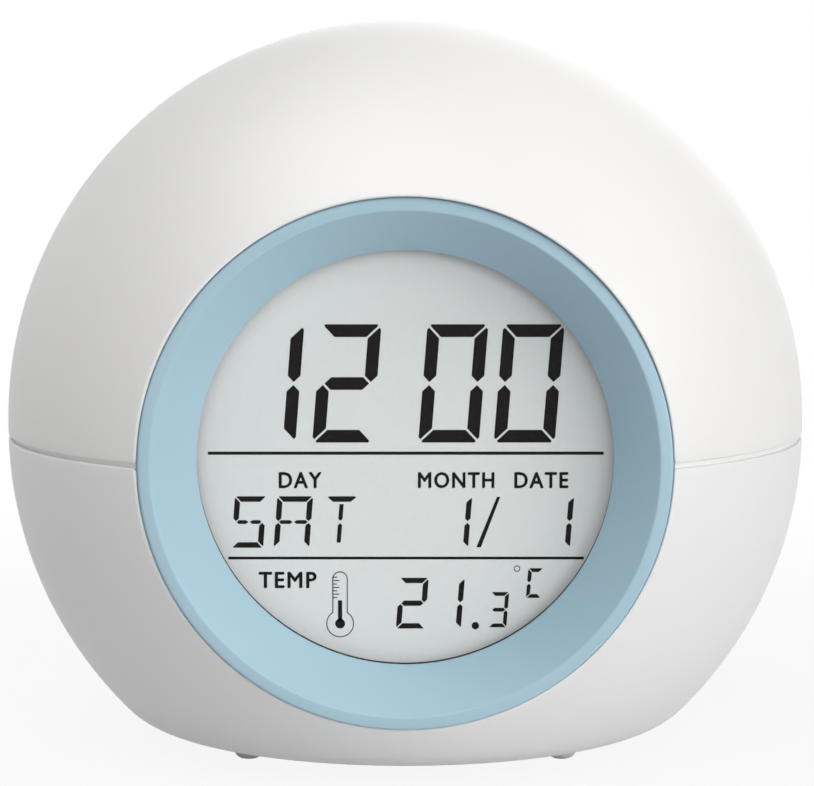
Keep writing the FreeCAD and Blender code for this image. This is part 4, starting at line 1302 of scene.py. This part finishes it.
def makeFoot(node):
    # a round pad under the base, its lower edge turned in
    low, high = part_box(node)
    middle = padMiddle(node)
    outline = [(0, low.z), (pad["footRadius"], low.z), (pad["radius"], high.z), (0, high.z)]
    points = [Vector((middle.x + r, middle.y, z)) for r, z in outline]
    bm = bmesh.new()
    rounds = [(1, pad["round"])]
    spinOutline(bm, points, (middle.x, middle.y, 0), (0, 0, 1), pad["steps"], rounds)
    return bm


for node in footNodes:
    finishPiece(node + "_pad", makeFoot(node), "case", footRubber, [node])
print("feet made")

keyCap = {
    "radius": 3.2 * mm,
    "flange": 0.9 * mm,
    "flangeThickness": 1.0 * mm,
    "stem": 1.5 * mm,
    "stemLength": 1.5 * mm,
    "dish": 0.22 * mm,
    "dishSteps": 8,
    "brimWidth": 0.5 * mm,
    "round": 0.475 * mm,
    "steps": 64,
}


def makeKeyCap(node):
    # a cap with a dish for the finger, a flange behind the panel and a stem to the switch
    low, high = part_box(node)
    middle = (low + high) / 2
    wide = keyCap["radius"]
    brim = wide - keyCap["brimWidth"]
    stemY = low.y
    flangeY = stemY + keyCap["stemLength"]
    outline = []
    for i in range(keyCap["dishSteps"] + 1):
        r = brim * i / keyCap["dishSteps"]
        outline.append((r, high.y - keyCap["dish"] * (1 - (r / brim) ** 2)))
    corner = len(outline)
    outline += [
        (wide, high.y),
        (wide, flangeY + keyCap["flangeThickness"]),
        (wide + keyCap["flange"], flangeY + keyCap["flangeThickness"]),
        (wide + keyCap["flange"], flangeY),
        (keyCap["stem"], flangeY),
        (keyCap["stem"], stemY),
        (0, stemY),
    ]
    points = [Vector((middle.x + r, y, middle.z)) for r, y in outline]
    bm = bmesh.new()
    rounds = [(corner, keyCap["round"])]
    spinOutline(bm, points, (middle.x, 0, middle.z), (0, 1, 0), keyCap["steps"], rounds)
    return bm


for node in ("mode_key", "alarm_key", "down_key", "up_key"):
    finishPiece(node + "_cap", makeKeyCap(node), node, keyPlastic, [node])
print("keys made")

slotMaterials = {
    "dome": domePlastic,
    "case": casePlastic,
    "bezel": bezelPlastic,
    "lens": windowAcrylic,
    "display": lcdField,
    "foam": cutFoam,
    "inner_plastic": nylon,
    "diffuser": lightGuide,
    "lamp": lampPhosphor,
    "strip": siliconeStrip,
    "board": makeBoardMaterial(),
    "resin": epoxyDrop,
    "can": drawnCan,
    "sleeve": shrinkSleeve,
    "screw": zincSteel,
    "magnet": groundFerrite,
    "film": speakerFilm,
    "switch": switchNylon,
    "contact": platedSteel,
    "rubber": footRubber,
    "lead": wirePvc,
    "ribbon": makeRibbonMaterial(),
    "key": keyPlastic,
    "plunger": acetal,
    "knob": keyPlastic,
}
slotOfNode = {s["node"]: s["material_slot"] for s in frame["record"]["subparts"]}


def nubEndOf(piece):
    # a cell is narrower at its nub than at its foot, and both lie along X
    xs = [v.co.x for v in piece.data.vertices]
    spans = []
    for end in (min(xs), max(xs)):
        atEnd = [v.co for v in piece.data.vertices if abs(v.co.x - end) < near["cellEnd"]]
        zs = [point.z for point in atEnd]
        spans.append((max(zs) - min(zs), end))
    return min(spans)[1], max(spans)[1]


for node, piece in frame["nodes"].items():
    kind = slotOfNode[node]
    piece.data.materials.clear()
    if kind == "battery":
        nubX, footX = nubEndOf(piece)
        piece.data.materials.append(makeCellMaterial(node + "_film_shrunk", footX, nubX))
    else:
        piece.data.materials.append(slotMaterials[kind])

# near the clock the paper keeps its shadow, further off it turns plain white
sweep = {
    "halfSize": 3.0,
    "darker": "#cdcdcd",
    "lighter": "#d4d4d4",
    "roughness": (0.85, 0.95),
    "fibre": 2 * mm,
    "depth": 0.05 * mm,
    "share": 0.9,
    "height": -0.05 * mm,
    "shadowReach": 60 * mm,
    "shadowEnd": 220 * mm,
}


def joinRays(tree, path):
    # the rays that show the white room: seen directly, through a window or in a reflection
    seen = path.outputs["Is Camera Ray"]
    for ray in ("Is Transmission Ray", "Is Glossy Ray"):
        both = {0: seen, 1: path.outputs[ray]}
        seen = addNode(tree, "ShaderNodeMath", {"operation": "MAXIMUM"}, both).outputs[0]
    return seen


def makeFloor():
    bm = bmesh.new()
    bmesh.ops.create_grid(bm, x_segments=2, y_segments=2, size=sweep["halfSize"])
    bmesh.ops.translate(bm, verts=bm.verts[:], vec=(0, 0, sweep["height"]))
    floor = meshObject("floor", bm)
    material, tree, shader, place = startMaterial("sweep_paper_pressed", {"IOR": 1.4})
    fine = {"Scale": 1 / sweep["fibre"], "Detail": 2.0}
    fibre = addNode(tree, "ShaderNodeTexNoise", fine, {"Vector": place})
    dressSurface(tree, shader, fibre.outputs["Fac"], fibre.outputs["Fac"], sweep)
    glow = addNode(tree, "ShaderNodeEmission", {"Color": (1, 1, 1, 1), "Strength": 1.0})
    path = addNode(tree, "ShaderNodeLightPath")
    away = addNode(tree, "ShaderNodeVectorMath", {"operation": "LENGTH"}, {"Vector": place})
    fade = addNode(
        tree,
        "ShaderNodeMapRange",
        {
            "From Min": sweep["shadowReach"],
            "From Max": sweep["shadowEnd"],
            "To Min": sweep["share"],
            "To Max": 1.0,
            "interpolation_type": "SMOOTHSTEP",
        },
        {"Value": away.outputs["Value"]},
    )
    share = addNode(
        tree,
        "ShaderNodeMath",
        {"operation": "MULTIPLY"},
        {0: joinRays(tree, path), 1: fade.outputs["Result"]},
    )
    blend = addNode(
        tree,
        "ShaderNodeMixShader",
        links={0: share.outputs[0], 1: shader.outputs[0], 2: glow.outputs[0]},
    )
    # seen from below, the paper is clear so that the underside of the clock can be looked at
    side = addNode(tree, "ShaderNodeNewGeometry")
    under = addNode(
        tree,
        "ShaderNodeMath",
        {"operation": "MULTIPLY"},
        {0: path.outputs["Is Camera Ray"], 1: side.outputs["Backfacing"]},
    )
    clear = addNode(tree, "ShaderNodeBsdfTransparent")
    oneSided = addNode(
        tree,
        "ShaderNodeMixShader",
        links={0: under.outputs[0], 1: blend.outputs[0], 2: clear.outputs[0]},
    )
    tree.links.new(oneSided.outputs[0], tree.nodes["Material Output"].inputs["Surface"])
    floor.data.materials.append(material)


def makeWorld(level):
    world = bpy.data.worlds.new("studio")
    bpy.context.scene.world = world
    world.use_nodes = True
    tree = world.node_tree
    back = tree.nodes["Background"]
    path = addNode(tree, "ShaderNodeLightPath")
    ends = {"To Min": level, "To Max": 1.0}
    strength = addNode(tree, "ShaderNodeMapRange", ends, {"Value": joinRays(tree, path)})
    back.inputs["Color"].default_value = (1, 1, 1, 1)
    tree.links.new(strength.outputs["Result"], back.inputs["Strength"])


def addSoftbox(name, place, size, power, target):
    light = bpy.data.lights.new(name, "AREA")
    light.shape = "DISK"
    light.size = size
    light.energy = power
    lamp = addToScene(name, light)
    lamp.location = place
    lamp.rotation_euler = (target - place).to_track_quat("-Z", "Y").to_euler()


ballMiddle = (domeMiddle + bowlMiddle) / 2
studio = {
    "worldLevel": 0.15,
    "size": 0.8,
    "softboxes": {
        "right_softbox": (Vector((0.75, -0.6, 0.2)), 6.4),
        "top_softbox": (Vector((-0.25, -0.2, 0.9)), 4.0),
        "front_softbox": (Vector((0.0, -0.95, 0.35)), 2.0),
        "rear_softbox": (Vector((0.2, 1.15, 0.35)), 2.4),
    },
}
makeFloor()
makeWorld(studio["worldLevel"])
for name, (place, power) in studio["softboxes"].items():
    addSoftbox(name, place, studio["size"], power, ballMiddle)

view = {
    "distance": 320 * mm,
    "elevation": math.radians(5.82),
    "lens": 123.61,
    "sensor": 36.0,
    "shiftX": 0.0021,
    "shiftY": 0.0334,
    "clipStart": 0.01,
    "clipEnd": 20,
}


def placeCamera():
    camera = bpy.data.cameras.new("camera")
    camera.lens = view["lens"]
    camera.sensor_width = view["sensor"]
    camera.sensor_fit = "HORIZONTAL"
    camera.shift_x = view["shiftX"]
    camera.shift_y = view["shiftY"]
    camera.clip_start = view["clipStart"]
    camera.clip_end = view["clipEnd"]
    holder = addToScene("camera", camera)
    back = Vector((0, -math.cos(view["elevation"]), math.sin(view["elevation"])))
    holder.location = ballMiddle + back * view["distance"]
    holder.rotation_euler = (-back).to_track_quat("-Z", "Y").to_euler()
    bpy.context.scene.camera = holder


placeCamera()
bpy.context.scene.view_settings.view_transform = "Standard"
print("studio ready")
